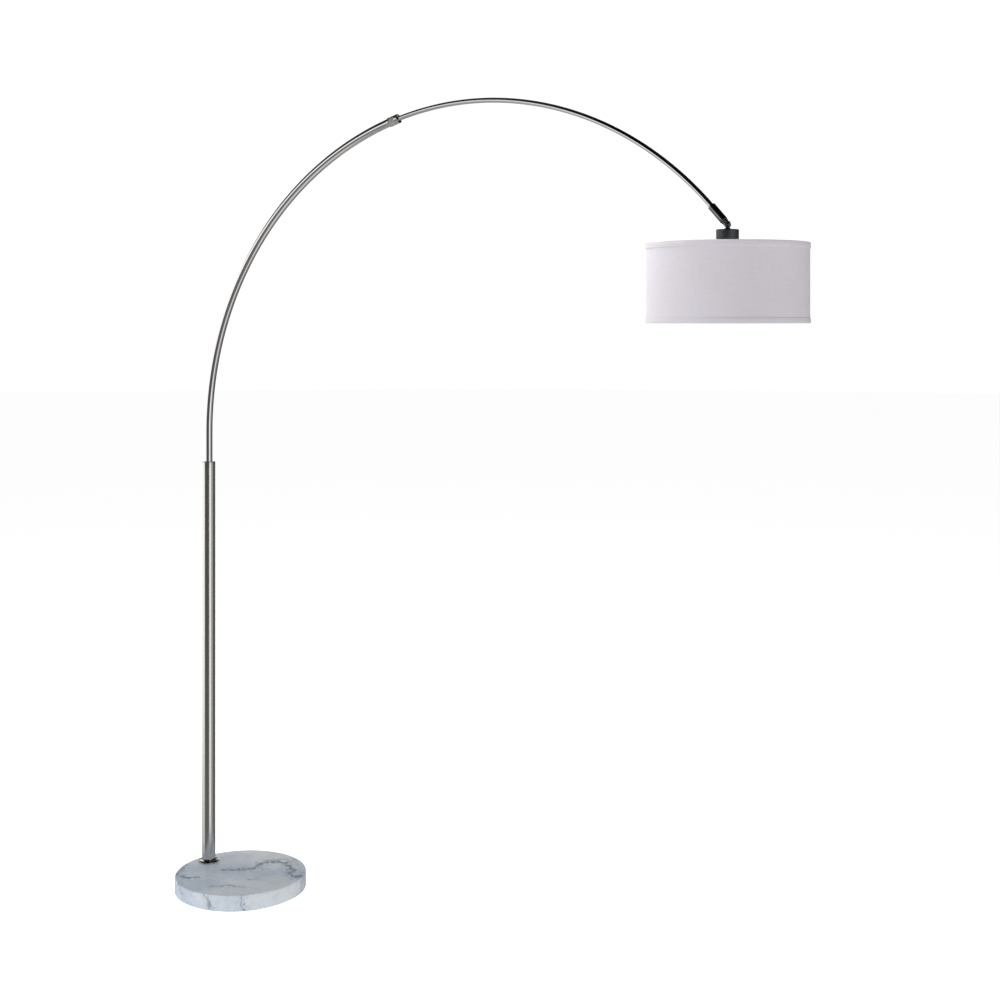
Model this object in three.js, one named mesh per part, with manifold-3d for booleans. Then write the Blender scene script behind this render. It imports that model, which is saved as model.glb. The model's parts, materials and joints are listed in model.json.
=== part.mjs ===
// Arc floor lamp: a marble base, a steel pole, a telescoping arc arm and a tilting drum shade.
// Millimetres, +Z up. The origin is the middle of the base's underside, on the floor, and the arm
// reaches towards +X. Angles along the arm start at the spring line, where the arc leaves the vertical.
import * as THREE from 'three';
import { mergeVertices } from 'three/addons/utils/BufferGeometryUtils.js';
import Module from 'manifold-3d';

const wasm = await Module();
wasm.setup();

// ---------------------------------------------------------------- driving dimensions

const FULL_HEIGHT = 2057;        // floor to the top of the arc
const GAP = 0.3;                 // air left between two pieces that rest on each other

const BASE_RADIUS = 173;
const BASE_THICKNESS = 40;
const PAD_THICKNESS = 2;
const PAD_RADIUS = 168;

const POLE_OFFSET = 131;         // pole axis to the middle of the base
const ARM_SWING = 8.9;           // degrees between the arm and the line from pole to base middle
const POLE_RADIUS = 18.2;
const POLE_WALL = 1.5;
const POLE_TOP = 1131;           // height of the pole's top face

const ARC_RADIUS = 842;          // of the arm's centre line
const LOWER_RADIUS = 10.6;       // outside radius of the lower arm tube
const LOWER_WALL = 1.3;
const UPPER_RADIUS = 6.35;       // outside radius of the upper arm tube
const UPPER_WALL = 1.2;
const COLLAR_ANGLE = 72.9;       // degrees, where the lock collar starts
const LOWER_END_ANGLE = 74.1;    // degrees, where the lower tube ends inside the collar
const UPPER_START_ANGLE = 60.5;  // degrees, the upper tube's hidden end
const ARC_END_ANGLE = 138.1;     // degrees, where the arm runs straight into its end sleeve

const COLLAR_RADIUS = 12.2;
const COLLAR_LENGTH = 31;
const SLEEVE_RADIUS = 9.25;
const SLEEVE_LENGTH = 47;
const PIVOT_REACH = 58;          // end of the arc to the tilt pivot, along the arm

const CAP_TOP = 1717;            // heights of the head's pieces, with the shade level
const CAP_HEIGHT = 50;
const CAP_RADIUS = 25.4;
const SHADE_TOP = 1686;
const SHADE_BOTTOM = 1507.5;
const SHADE_RADIUS = 182.5;
const TRIM_HEIGHT = 12.5;

const FLEX_RADIUS = 2.6;

// ---------------------------------------------------------------- places worked out from them

const rad = THREE.MathUtils.degToRad;

const POLE_X = -POLE_OFFSET * Math.cos(rad(ARM_SWING));
const POLE_Y = POLE_OFFSET * Math.sin(rad(ARM_SWING));
const SPRING_Z = FULL_HEIGHT - ARC_RADIUS - UPPER_RADIUS;

const BASE_FOOT = PAD_THICKNESS + GAP;
const BASE_TOP = BASE_FOOT + BASE_THICKNESS;

// ---------------------------------------------------------------- finishes

function finish(color, roughness, metalness) {
  return new THREE.MeshStandardMaterial({ color, roughness, metalness });
}

const satinSteel = finish(0xb9b8b4, 0.28, 1);
const plainSteel = finish(0x8f9092, 0.45, 1);
const darkSteel = finish(0x3a3b3d, 0.3, 1);
const brass = finish(0xb89a55, 0.35, 1);
const marble = finish(0xc3cad1, 0.25, 0);
const felt = finish(0x2b2b2d, 0.95, 0);
const rubber = finish(0x1e1e20, 0.8, 0);
const nylon = finish(0xd8d6d0, 0.6, 0);
const phenolic = finish(0x1a1a1b, 0.4, 0);
const ceramic = finish(0xe6e3da, 0.35, 0);
const linen = finish(0xd9d7dc, 0.9, 0);
const styrene = finish(0xefeeea, 0.5, 0);
const frostedGlass = finish(0xf4f2ec, 0.35, 0);

// ---------------------------------------------------------------- shape helpers

// Joins a geometry's shared corners, drops flat triangles and turns every face outwards.
function weld(source) {
  const bare = source.clone();
  bare.deleteAttribute('normal');
  bare.deleteAttribute('uv');
  const welded = mergeVertices(bare, 1e-3);
  const corners = [];
  const index = welded.index.array;
  for (let i = 0; i < index.length; i += 3) {
    const [a, b, c] = [index[i], index[i + 1], index[i + 2]];
    if (a !== b && b !== c && c !== a) corners.push(a, b, c);
  }
  welded.setIndex(corners);
  if (volume(welded) < 0) welded.setIndex(corners.reverse());
  return welded;
}

// Six times the enclosed volume, negative when the faces point inwards.
function volume(geometry) {
  const position = geometry.attributes.position;
  const index = geometry.index.array;
  const [a, b, c] = [new THREE.Vector3(), new THREE.Vector3(), new THREE.Vector3()];
  let total = 0;
  for (let i = 0; i < index.length; i += 3) {
    a.fromBufferAttribute(position, index[i]);
    b.fromBufferAttribute(position, index[i + 1]);
    c.fromBufferAttribute(position, index[i + 2]);
    total += a.dot(b.cross(c));
  }
  return total;
}

function toManifold(geometry) {
  const welded = weld(geometry);
  return new wasm.Manifold(new wasm.Mesh({
    numProp: 3,
    vertProperties: new Float32Array(welded.attributes.position.array),
    triVerts: new Uint32Array(welded.index.array),
  }));
}

function toGeometry(manifold) {
  const mesh = manifold.getMesh();
  const geometry = new THREE.BufferGeometry();
  geometry.setAttribute('position', new THREE.BufferAttribute(mesh.vertProperties, 3));
  geometry.setIndex(new THREE.BufferAttribute(mesh.triVerts, 1));
  return geometry;
}

function cut(body, ...tools) {
  return toGeometry(tools.reduce((solid, tool) => solid.subtract(toManifold(tool)), toManifold(body)));
}

function join(body, ...others) {
  return toGeometry(others.reduce((solid, other) => solid.add(toManifold(other)), toManifold(body)));
}

// A solid turned about Z. Each profile point is [radius, height].
function turned(profile, sides = 24) {
  const points = profile.map(([radius, height]) => new THREE.Vector2(radius, height));
  return weld(new THREE.LatheGeometry(points, sides).rotateX(Math.PI / 2));
}

function rod(radius, bottom, top, sides = 24, edge = 0) {
  return turned([
    [0, bottom], [radius - edge, bottom], [radius, bottom + edge],
    [radius, top - edge], [radius - edge, top], [0, top],
  ], sides);
}

function ring(outer, inner, bottom, top, sides = 24) {
  return turned([[inner, bottom], [outer, bottom], [outer, top], [inner, top], [inner, bottom]], sides);
}

// A round wire bent into a hoop about Z.
function hoop(radius, wireRadius, height, sides, wireSides = 6) {
  const section = [];
  for (let i = 0; i <= wireSides; i += 1) {
    const angle = (i / wireSides) * 2 * Math.PI;
    section.push([radius + wireRadius * Math.cos(angle), height + wireRadius * Math.sin(angle)]);
  }
  return turned(section, sides);
}

// A hexagon across flats, along Z.
function hexagon(acrossFlats, bottom, top) {
  return new THREE.CylinderGeometry(
    acrossFlats / Math.sqrt(3), acrossFlats / Math.sqrt(3), top - bottom, 6,
  ).rotateX(Math.PI / 2).translate(0, 0, (bottom + top) / 2);
}

// A flat plate cut from an outline drawn in the XZ plane, with its middle at the given Y.
function plate(outline, thickness, middle) {
  const blank = new THREE.ExtrudeGeometry(outline, { depth: thickness, bevelEnabled: false, curveSegments: 6 });
  return weld(blank.rotateX(Math.PI / 2).translate(0, middle + thickness / 2, 0));
}

// A round-ended lug that stands on a foot height, with a hole through its eye.
function lugOutline(radius, foot, eye, holeRadius) {
  const outline = new THREE.Shape();
  outline.moveTo(-radius, foot);
  outline.lineTo(radius, foot);
  outline.absarc(0, eye, radius, 0, Math.PI, false);
  outline.closePath();
  outline.holes.push(new THREE.Path().absarc(0, eye, holeRadius, 0, 2 * Math.PI, true));
  return outline;
}

// Turns a piece that was made along Z so that it runs along Y.
function alongY(geometry) {
  return geometry.rotateX(-Math.PI / 2);
}

function tubeAlong(curve, outer, inner, steps, sides) {
  const section = new THREE.Shape().absarc(0, 0, outer, 0, 2 * Math.PI, false);
  if (inner > 0) section.holes.push(new THREE.Path().absarc(0, 0, inner, 0, 2 * Math.PI, true));
  return weld(new THREE.ExtrudeGeometry(section, {
    steps, extrudePath: curve, curveSegments: sides / 2, bevelEnabled: false,
  }));
}

// ---------------------------------------------------------------- the arm's centre line

// A point on the arc, measured from the pole's axis.
function arcPoint(angle) {
  return new THREE.Vector3(
    ARC_RADIUS * (1 - Math.cos(angle)), 0, SPRING_Z + ARC_RADIUS * Math.sin(angle),
  );
}

function arcDirection(angle) {
  return new THREE.Vector3(Math.sin(angle), 0, Math.cos(angle));
}

// The arc between two angles, with a straight lead before it and a straight tail after it.
class ArmLine extends THREE.Curve {
  constructor(fromDegrees, toDegrees, lead, tail) {
    super();
    this.from = rad(fromDegrees);
    this.to = rad(toDegrees);
    this.lead = lead;
    this.arc = ARC_RADIUS * (this.to - this.from);
    this.tail = tail;
  }

  getPoint(t, target = new THREE.Vector3()) {
    const distance = t * (this.lead + this.arc + this.tail) - this.lead;
    const onArc = THREE.MathUtils.clamp(distance, 0, this.arc);
    const angle = this.from + onArc / ARC_RADIUS;
    return target.copy(arcPoint(angle)).addScaledVector(arcDirection(angle), distance - onArc);
  }
}

// ---------------------------------------------------------------- assembly helpers

const lamp = new THREE.Group();

function place(parent, name, geometry, material) {
  const mesh = new THREE.Mesh(geometry, material);
  mesh.name = name;
  parent.add(mesh);
}

function groupAt(parent, x, y, z) {
  const group = new THREE.Group();
  group.position.set(x, y, z);
  parent.add(group);
  return group;
}

// A group on the arc whose Z runs along the arm.
function stationAt(parent, degrees) {
  const point = arcPoint(rad(degrees));
  const group = groupAt(parent, point.x, point.y, point.z);
  group.rotation.y = rad(degrees);
  return group;
}

const onPole = groupAt(lamp, POLE_X, POLE_Y, 0);

// ---------------------------------------------------------------- base

const TIE_RADIUS = 8;
const TIE_BORE = 5.5;
const RECESS_RADIUS = 30;
const RECESS_DEPTH = 24;
const CHANNEL_WIDTH = 12;
const CHANNEL_HEIGHT = 12.5;
const INLET_RADIUS = 5.6;
const INLET_BORE = 3.6;
const INLET_Z = BASE_FOOT + 6.4;
const SIDES_BASE = 40;
const BASE_EDGE = 3;

// Outward direction of the cord channel: from the base's middle through the pole.
const channelTurn = Math.PI - rad(ARM_SWING);

function marbleDisc() {
  const profile = [
    [0, BASE_FOOT], [BASE_RADIUS - 1.5, BASE_FOOT], [BASE_RADIUS, BASE_FOOT + 1.5],
    [BASE_RADIUS, BASE_TOP - BASE_EDGE],
    [BASE_RADIUS - BASE_EDGE * (1 - Math.SQRT1_2), BASE_TOP - BASE_EDGE * (1 - Math.SQRT1_2)],
    [BASE_RADIUS - BASE_EDGE, BASE_TOP], [0, BASE_TOP],
  ];
  const recess = rod(RECESS_RADIUS, 0, BASE_FOOT + RECESS_DEPTH, 28);
  const bore = rod(TIE_RADIUS + 0.6, 0, BASE_TOP + 1, 20);
  const channelLength = BASE_RADIUS - POLE_OFFSET + 5;
  const channel = new THREE.BoxGeometry(channelLength, CHANNEL_WIDTH, 2 * CHANNEL_HEIGHT);
  channel.translate(channelLength / 2, 0, BASE_FOOT).rotateZ(channelTurn);
  const atPole = (tool) => tool.translate(POLE_X, POLE_Y, 0);
  return cut(turned(profile, SIDES_BASE), atPole(recess), atPole(bore), atPole(channel));
}

function inletGrommet() {
  const depth = 12;
  const bush = ring(INLET_RADIUS, INLET_BORE, BASE_RADIUS - depth, BASE_RADIUS + 1, 16);
  return bush.rotateY(Math.PI / 2).translate(0, 0, INLET_Z).rotateZ(channelTurn);
}

place(lamp, 'base_pad', rod(PAD_RADIUS, 0, PAD_THICKNESS, SIDES_BASE), felt);
place(lamp, 'marble_base', marbleDisc(), marble);
place(lamp, 'cord_grommet', inletGrommet(), rubber);

// The clamp stack under the marble, from the recess's ceiling down.
const CEILING = BASE_FOOT + RECESS_DEPTH;
const WASHER = 3;
const LOCK_WASHER = 2.5;
const NUT_HEIGHT = 9.5;
const washerFoot = CEILING - GAP - WASHER;
const lockFoot = washerFoot - GAP - LOCK_WASHER;
const nutFoot = lockFoot - GAP - NUT_HEIGHT;

function lockWasher() {
  const split = new THREE.BoxGeometry(8, 2, 10).translate(11, 0, lockFoot);
  return cut(ring(13, TIE_RADIUS + 0.4, lockFoot, lockFoot + LOCK_WASHER), split);
}

function tieNut() {
  return cut(hexagon(24, nutFoot, nutFoot + NUT_HEIGHT), rod(TIE_RADIUS + 0.4, 0, CEILING));
}

const PLUG_HEIGHT = 26;
const poleFoot = BASE_TOP + GAP;
const poleBore = POLE_RADIUS - POLE_WALL;

place(onPole, 'tie_tube', ring(TIE_RADIUS, TIE_BORE, nutFoot - 0.5, poleFoot + PLUG_HEIGHT, 20), plainSteel);
place(onPole, 'base_washer', ring(25, TIE_RADIUS + 0.4, washerFoot, washerFoot + WASHER, 20), plainSteel);
place(onPole, 'base_lock_washer', lockWasher(), plainSteel);
place(onPole, 'base_nut', tieNut(), plainSteel);

// ---------------------------------------------------------------- pole

const SIDES_POLE = 28;
const FLANGE_RADIUS = 29;
const FLANGE_HEIGHT = 8;
const BUSH_HEIGHT = 60;
const BUSH_LIP = 3;
const SEAT_TOP = 990;
const SEAT_HEIGHT = 26;
const SEAT_CUP = 14;
const tubeFoot = SEAT_TOP - SEAT_CUP + 1.5 + 2 * GAP;
const screwZ = POLE_TOP - 26;

function footFlange() {
  const bore = POLE_RADIUS + GAP;
  return turned([
    [bore, poleFoot], [FLANGE_RADIUS, poleFoot], [FLANGE_RADIUS, poleFoot + 2.5],
    [FLANGE_RADIUS - 2, poleFoot + 5], [FLANGE_RADIUS - 6, poleFoot + 7],
    [bore + 1, poleFoot + FLANGE_HEIGHT], [bore, poleFoot + FLANGE_HEIGHT], [bore, poleFoot],
  ], SIDES_POLE);
}

// The clearance hole for the swivel screw, at the back of the pole.
function screwHole(radius) {
  return alongY(rod(radius, 5, 30, 12)).translate(0, 0, screwZ);
}

function poleTube() {
  const top = POLE_TOP - BUSH_LIP - GAP;
  return cut(ring(POLE_RADIUS, poleBore, poleFoot, top, SIDES_POLE), screwHole(3));
}

function topBush() {
  const bore = LOWER_RADIUS + 0.5;
  const spigot = poleBore - GAP;
  const lip = POLE_TOP - BUSH_LIP;
  const body = turned([
    [bore, POLE_TOP - BUSH_HEIGHT], [spigot, POLE_TOP - BUSH_HEIGHT], [spigot, lip],
    [POLE_RADIUS, lip], [POLE_RADIUS, POLE_TOP - 0.8], [POLE_RADIUS - 0.8, POLE_TOP],
    [bore, POLE_TOP], [bore, POLE_TOP - BUSH_HEIGHT],
  ], SIDES_POLE);
  return cut(body, screwHole(3));
}

// A grub screw with a hexagon socket, flush in the back of the pole.
function swivelScrew() {
  const outer = POLE_RADIUS - 0.4;
  const socket = hexagon(2.6, outer - 3, outer + 1);
  return alongY(cut(rod(2.6, LOWER_RADIUS + 0.4, outer, 12), socket)).translate(0, 0, screwZ);
}

function poleSeat() {
  const rim = poleBore - GAP;
  const foot = SEAT_TOP - SEAT_HEIGHT;
  const cup = LOWER_RADIUS + 0.6;
  const floor = SEAT_TOP - SEAT_CUP;
  return turned([
    [FLEX_RADIUS + 1, foot], [rim, foot], [rim, SEAT_TOP], [cup, SEAT_TOP],
    [cup, floor], [FLEX_RADIUS + 1, floor], [FLEX_RADIUS + 1, foot],
  ], SIDES_POLE / 2);
}

const plugTop = poleFoot + PLUG_HEIGHT;
const seatFloor = SEAT_TOP - SEAT_CUP + GAP;

place(onPole, 'foot_flange', footFlange(), satinSteel);
place(onPole, 'pole_foot_plug', ring(poleBore - GAP, TIE_RADIUS + GAP, poleFoot, plugTop, SIDES_POLE / 2), plainSteel);
place(onPole, 'pole_tube', poleTube(), satinSteel);
place(onPole, 'pole_seat', poleSeat(), nylon);
place(onPole, 'swivel_washer', ring(LOWER_RADIUS, 5, seatFloor, seatFloor + 1.5), nylon);
place(onPole, 'pole_top_bush', topBush(), satinSteel);
place(onPole, 'swivel_screw', swivelScrew(), plainSteel);

// ---------------------------------------------------------------- lower arm

const lowerBore = LOWER_RADIUS - LOWER_WALL;
const alongArc = (degreesA, degreesB) => ARC_RADIUS * rad(degreesB - degreesA);
const tubeEnd = alongArc(COLLAR_ANGLE, LOWER_END_ANGLE);   // in the collar's own frame
const COLLET_LENGTH = 32;
const COLLET_LIP = 2;
const COLLAR_WALL_FOOT = tubeEnd + COLLET_LIP + 3 * GAP;
const COLLAR_WALL_TOP = COLLAR_LENGTH - 5;

// The twist ring: a wide bore over the lower tube, an end wall, and a dished mouth.
function lockCollar() {
  const tubeBore = LOWER_RADIUS + 0.5;
  const armBore = UPPER_RADIUS + 1;
  const edge = 0.8;
  return turned([
    [tubeBore, 0], [COLLAR_RADIUS - edge, 0], [COLLAR_RADIUS, edge],
    [COLLAR_RADIUS, COLLAR_LENGTH - edge], [COLLAR_RADIUS - edge, COLLAR_LENGTH],
    [COLLAR_RADIUS - 2.4, COLLAR_LENGTH], [armBore + 0.6, COLLAR_WALL_TOP], [armBore, COLLAR_WALL_TOP - 0.6],
    [armBore, COLLAR_WALL_FOOT], [tubeBore, COLLAR_WALL_FOOT], [tubeBore, 0],
  ], 24);
}

// A split nylon collet: it lines the lower tube's mouth and grips the upper tube.
function collet() {
  const grip = UPPER_RADIUS + 0.75;
  const skirt = lowerBore - 1.1;
  const lipFoot = tubeEnd + GAP;
  const foot = lipFoot - COLLET_LENGTH;
  const body = turned([
    [grip, foot], [skirt, foot], [skirt, lipFoot], [LOWER_RADIUS, lipFoot],
    [LOWER_RADIUS, lipFoot + COLLET_LIP], [grip, lipFoot + COLLET_LIP], [grip, foot],
  ], 16);
  const split = new THREE.BoxGeometry(10, 1.2, COLLET_LENGTH).translate(8, 0, tubeEnd - 6);
  return cut(body, split);
}

const lead = SPRING_Z - tubeFoot;
const collarStation = stationAt(onPole, COLLAR_ANGLE);
const lowerLine = new ArmLine(0, LOWER_END_ANGLE, lead, 0);

place(onPole, 'lower_arc_tube', tubeAlong(lowerLine, LOWER_RADIUS, lowerBore, 26, 10), satinSteel);
place(collarStation, 'collar_collet', collet(), nylon);
place(collarStation, 'lock_collar', lockCollar(), satinSteel);

// ---------------------------------------------------------------- upper arm

const TUBE_IN_SLEEVE = 30;
const FORK_FOOT = SLEEVE_LENGTH + GAP;
const LUG_RADIUS = 6;
const EAR_INSIDE = 3.8;
const EAR_THICKNESS = 3.2;
const BOLT_RADIUS = 2.4;
const SHANK_RADIUS = 4.5;
const SLEEVE_SCREW_Z = 12;

function endSleeve() {
  const edge = 1.5;
  const bore = UPPER_RADIUS + GAP;
  const shankBore = SHANK_RADIUS + GAP;
  const body = turned([
    [bore, 0], [SLEEVE_RADIUS - edge, 0], [SLEEVE_RADIUS, edge],
    [SLEEVE_RADIUS, SLEEVE_LENGTH - edge], [SLEEVE_RADIUS - edge, SLEEVE_LENGTH],
    [shankBore, SLEEVE_LENGTH], [shankBore, TUBE_IN_SLEEVE + 1], [bore, TUBE_IN_SLEEVE + 1], [bore, 0],
  ], 24);
  return cut(body, alongY(rod(1.9, 3, 12, 10)).translate(0, 0, SLEEVE_SCREW_Z));
}

function sleeveScrew() {
  return alongY(rod(1.6, UPPER_RADIUS + GAP, SLEEVE_RADIUS - 0.3, 10)).translate(0, 0, SLEEVE_SCREW_Z);
}

// Two ears on a round shoulder, with a hollow shank that screws into the sleeve.
function knuckleFork() {
  const shoulder = turned([
    [2, TUBE_IN_SLEEVE + 4], [SHANK_RADIUS, TUBE_IN_SLEEVE + 4], [SHANK_RADIUS, FORK_FOOT],
    [8.2, FORK_FOOT], [8.2, FORK_FOOT + 2.2], [7.4, FORK_FOOT + 3], [2, FORK_FOOT + 3], [2, TUBE_IN_SLEEVE + 4],
  ], 16);
  const outline = lugOutline(LUG_RADIUS, FORK_FOOT + 2, PIVOT_REACH, BOLT_RADIUS + 0.2);
  const middle = EAR_INSIDE + EAR_THICKNESS / 2;
  return join(shoulder, plate(outline, EAR_THICKNESS, middle), plate(outline, EAR_THICKNESS, -middle));
}

const armEnd = stationAt(onPole, ARC_END_ANGLE);
const upperLine = new ArmLine(UPPER_START_ANGLE, ARC_END_ANGLE, 0, TUBE_IN_SLEEVE);
const upperBore = UPPER_RADIUS - UPPER_WALL;
const guideStation = stationAt(onPole, UPPER_START_ANGLE);

place(onPole, 'upper_arc_tube', tubeAlong(upperLine, UPPER_RADIUS, upperBore, 24, 10), satinSteel);
place(guideStation, 'guide_ring', ring(lowerBore - 1.1, UPPER_RADIUS + 0.6, 2, 14, 12), nylon);
place(armEnd, 'end_sleeve', endSleeve(), darkSteel);
place(armEnd, 'sleeve_screw', sleeveScrew(), plainSteel);
place(armEnd, 'knuckle_fork', knuckleFork(), darkSteel);

// ---------------------------------------------------------------- tilt pivot

const pivot = arcPoint(rad(ARC_END_ANGLE)).addScaledVector(arcDirection(rad(ARC_END_ANGLE)), PIVOT_REACH);
const atPivot = groupAt(onPole, pivot.x, pivot.y, pivot.z);
const WASHER_INSIDE = 2.7;
const earOutside = EAR_INSIDE + EAR_THICKNESS;
const washerOutside = earOutside + GAP + 1;
const nutInside = washerOutside + GAP;
const boltTip = nutInside + 5.5;

function frictionWasher(side) {
  const inner = Math.min(side * WASHER_INSIDE, side * (EAR_INSIDE - GAP));
  return alongY(ring(5.4, BOLT_RADIUS + 0.4, inner, inner + EAR_INSIDE - GAP - WASHER_INSIDE, 14));
}

function pivotBolt() {
  const head = -earOutside - GAP;
  const bolt = turned([
    [0, head - 3.4], [3.6, head - 3.4], [4.8, head - 2.2], [4.8, head], [BOLT_RADIUS, head],
    [BOLT_RADIUS, boltTip - 0.5], [BOLT_RADIUS - 0.5, boltTip], [0, boltTip],
  ], 14);
  return alongY(cut(bolt, hexagon(3, head - 5, head - 1.6)));
}

// A barrel with two wings, one up and one down while it is tight.
function wingNut() {
  const wing = new THREE.Shape();
  wing.moveTo(0, nutInside + 1.6);
  wing.lineTo(4.5, nutInside + 1.6);
  wing.quadraticCurveTo(9.6, nutInside + 2.5, 9.4, nutInside + 6.5);
  wing.quadraticCurveTo(8.6, nutInside + 8.6, 6.4, nutInside + 7.2);
  wing.quadraticCurveTo(5, nutInside + 4.8, 0, nutInside + 4.4);
  wing.closePath();
  const barrel = rod(4.4, nutInside, nutInside + 4.8, 14, 0.5);
  const wings = [Math.PI / 2, -Math.PI / 2].map((turn) => plate(wing, 1.8, 0).rotateZ(turn));
  return alongY(cut(join(barrel, ...wings), rod(BOLT_RADIUS + 0.25, 0, 40, 12)));
}

place(atPivot, 'pivot_bolt', pivotBolt(), plainSteel);
place(atPivot, 'friction_washer_near', frictionWasher(-1), nylon);
place(atPivot, 'friction_washer_far', frictionWasher(1), nylon);
place(atPivot, 'nut_washer', alongY(ring(5.6, BOLT_RADIUS + 0.3, earOutside + GAP, washerOutside, 14)), plainSteel);
place(atPivot, 'tilt_wing_nut', wingNut(), plainSteel);

// ---------------------------------------------------------------- lampholder

const head = groupAt(onPole, pivot.x, pivot.y, 0);
const NIPPLE_RADIUS = 4.8;
const NIPPLE_FOOT = CAP_TOP - 14;
const capRoof = CAP_TOP - 1.8;

// An eye on a flared stem, with a hollow threaded nipple below the cap's roof.
function knuckleEye() {
  const thickness = 2 * (WASHER_INSIDE - GAP);
  const seat = CAP_TOP + GAP;
  const stem = turned([
    [FLEX_RADIUS, NIPPLE_FOOT], [NIPPLE_RADIUS, NIPPLE_FOOT], [NIPPLE_RADIUS, seat], [8, seat],
    [7.4, seat + 0.8], [4.9, seat + 2.2], [3.5, seat + 3.6], [2.2, seat + 4.6], [0, seat + 4.6],
    [0, seat + 0.5], [FLEX_RADIUS, seat - 0.5], [FLEX_RADIUS, NIPPLE_FOOT],
  ], 16);
  const eye = plate(lugOutline(5.4, pivot.z - 7.6, pivot.z, BOLT_RADIUS + 0.2), thickness, 0);
  const narrowed = cut(eye, ring(40, 5.4, pivot.z - 20, pivot.z - 2, 24));
  return join(stem, narrowed);
}

function socketCap() {
  const wall = 1.3;
  const foot = CAP_TOP - CAP_HEIGHT;
  const edge = 1.6;
  return turned([
    [NIPPLE_RADIUS + GAP, capRoof], [CAP_RADIUS - wall - 1, capRoof], [CAP_RADIUS - wall, capRoof - 1],
    [CAP_RADIUS - wall, foot], [CAP_RADIUS, foot], [CAP_RADIUS, CAP_TOP - edge],
    [CAP_RADIUS - 0.5, CAP_TOP - 0.5], [CAP_RADIUS - edge, CAP_TOP],
    [NIPPLE_RADIUS + GAP, CAP_TOP], [NIPPLE_RADIUS + GAP, capRoof],
  ], 32);
}

function capNut() {
  const top = capRoof - GAP;
  return cut(hexagon(15, top - 4.5, top), rod(NIPPLE_RADIUS + GAP, top - 10, top + 10, 16));
}

const HOLDER_TOP = NIPPLE_FOOT - 1;
const HOLDER_MOUTH = 1640;
const HOLDER_RADIUS = 19;
const HUB_TOP = CAP_TOP - CAP_HEIGHT - GAP;
const HUB_THICKNESS = 2;
const KNOB_Z = HOLDER_MOUTH + 7.5;
const SHELL_FOOT = HOLDER_MOUTH + 4;
const SHELL_TOP = SHELL_FOOT + 24;

function lampholderBody() {
  const inside = 16.4;
  const body = turned([
    [FLEX_RADIUS + 0.5, HOLDER_TOP - 7], [inside, HOLDER_TOP - 9], [inside, HOLDER_MOUTH],
    [HOLDER_RADIUS, HOLDER_MOUTH], [HOLDER_RADIUS, HOLDER_TOP - 5], [HOLDER_RADIUS - 6, HOLDER_TOP],
    [FLEX_RADIUS + 0.5, HOLDER_TOP], [FLEX_RADIUS + 0.5, HOLDER_TOP - 7],
  ], 24);
  return cut(body, alongY(rod(2.6, 10, 30, 12)).translate(0, 0, KNOB_Z));
}

function lampholderShell() {
  return turned([
    [13.7, SHELL_FOOT], [14.3, SHELL_FOOT], [14.3, SHELL_TOP], [5, SHELL_TOP], [5, SHELL_TOP - 0.6],
    [13.7, SHELL_TOP - 0.6], [13.7, SHELL_FOOT],
  ], 20);
}

function contactTongue() {
  const top = SHELL_TOP - GAP;
  const tongue = new THREE.Shape();
  tongue.moveTo(-3, top);
  tongue.lineTo(3, top);
  tongue.lineTo(3, top - 0.6);
  tongue.quadraticCurveTo(0, top - 1, -1.4, top - 2.2);
  tongue.lineTo(-2, top - 2);
  tongue.quadraticCurveTo(-1.6, top - 1, -3, top - 0.6);
  tongue.closePath();
  return plate(tongue, 4, 0);
}

function ringNut() {
  const top = HUB_TOP - HUB_THICKNESS - GAP;
  return turned([
    [HOLDER_RADIUS + GAP, top - 5], [24, top - 5], [25, top - 4], [25, top - 1.6], [28, top - 1],
    [28, top], [HOLDER_RADIUS + GAP, top], [HOLDER_RADIUS + GAP, top - 5],
  ], 24);
}

function switchKnob() {
  const knobFoot = HOLDER_RADIUS + 3;
  const knob = turned([
    [0, HOLDER_RADIUS - 3.4], [2, HOLDER_RADIUS - 3.4], [2, knobFoot], [4.6, knobFoot], [5.4, knobFoot + 1],
    [5, knobFoot + 13], [4.2, knobFoot + 14], [0, knobFoot + 14],
  ], 14);
  return alongY(knob).translate(0, 0, KNOB_Z);
}

place(head, 'knuckle_eye', knuckleEye(), darkSteel);
place(head, 'socket_cap', socketCap(), darkSteel);
place(head, 'cap_nut', capNut(), plainSteel);
place(head, 'lampholder_body', lampholderBody(), phenolic);
place(head, 'lampholder_shell', lampholderShell(), brass);
place(head, 'lampholder_insulator', rod(15, SHELL_TOP + GAP, SHELL_TOP + 6, 20), ceramic);
place(head, 'centre_contact', contactTongue(), brass);
place(head, 'shade_ring_nut', ringNut(), phenolic);
place(head, 'switch_knob', switchKnob(), phenolic);

// ---------------------------------------------------------------- shade

const SIDES_SHADE = 36;
const SKIN = 0.7;                       // wall of each shade layer
const WIRE = 1.6;
const SPOKES = 3;
const trimOutside = SHADE_RADIUS;
const fabricOutside = trimOutside - SKIN - GAP;
const linerOutside = fabricOutside - SKIN - GAP;
const hoopRadius = linerOutside - SKIN - GAP - WIRE;
const rollTop = SHADE_TOP - SKIN - GAP;
const rollBottom = SHADE_BOTTOM + SKIN + GAP;

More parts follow.
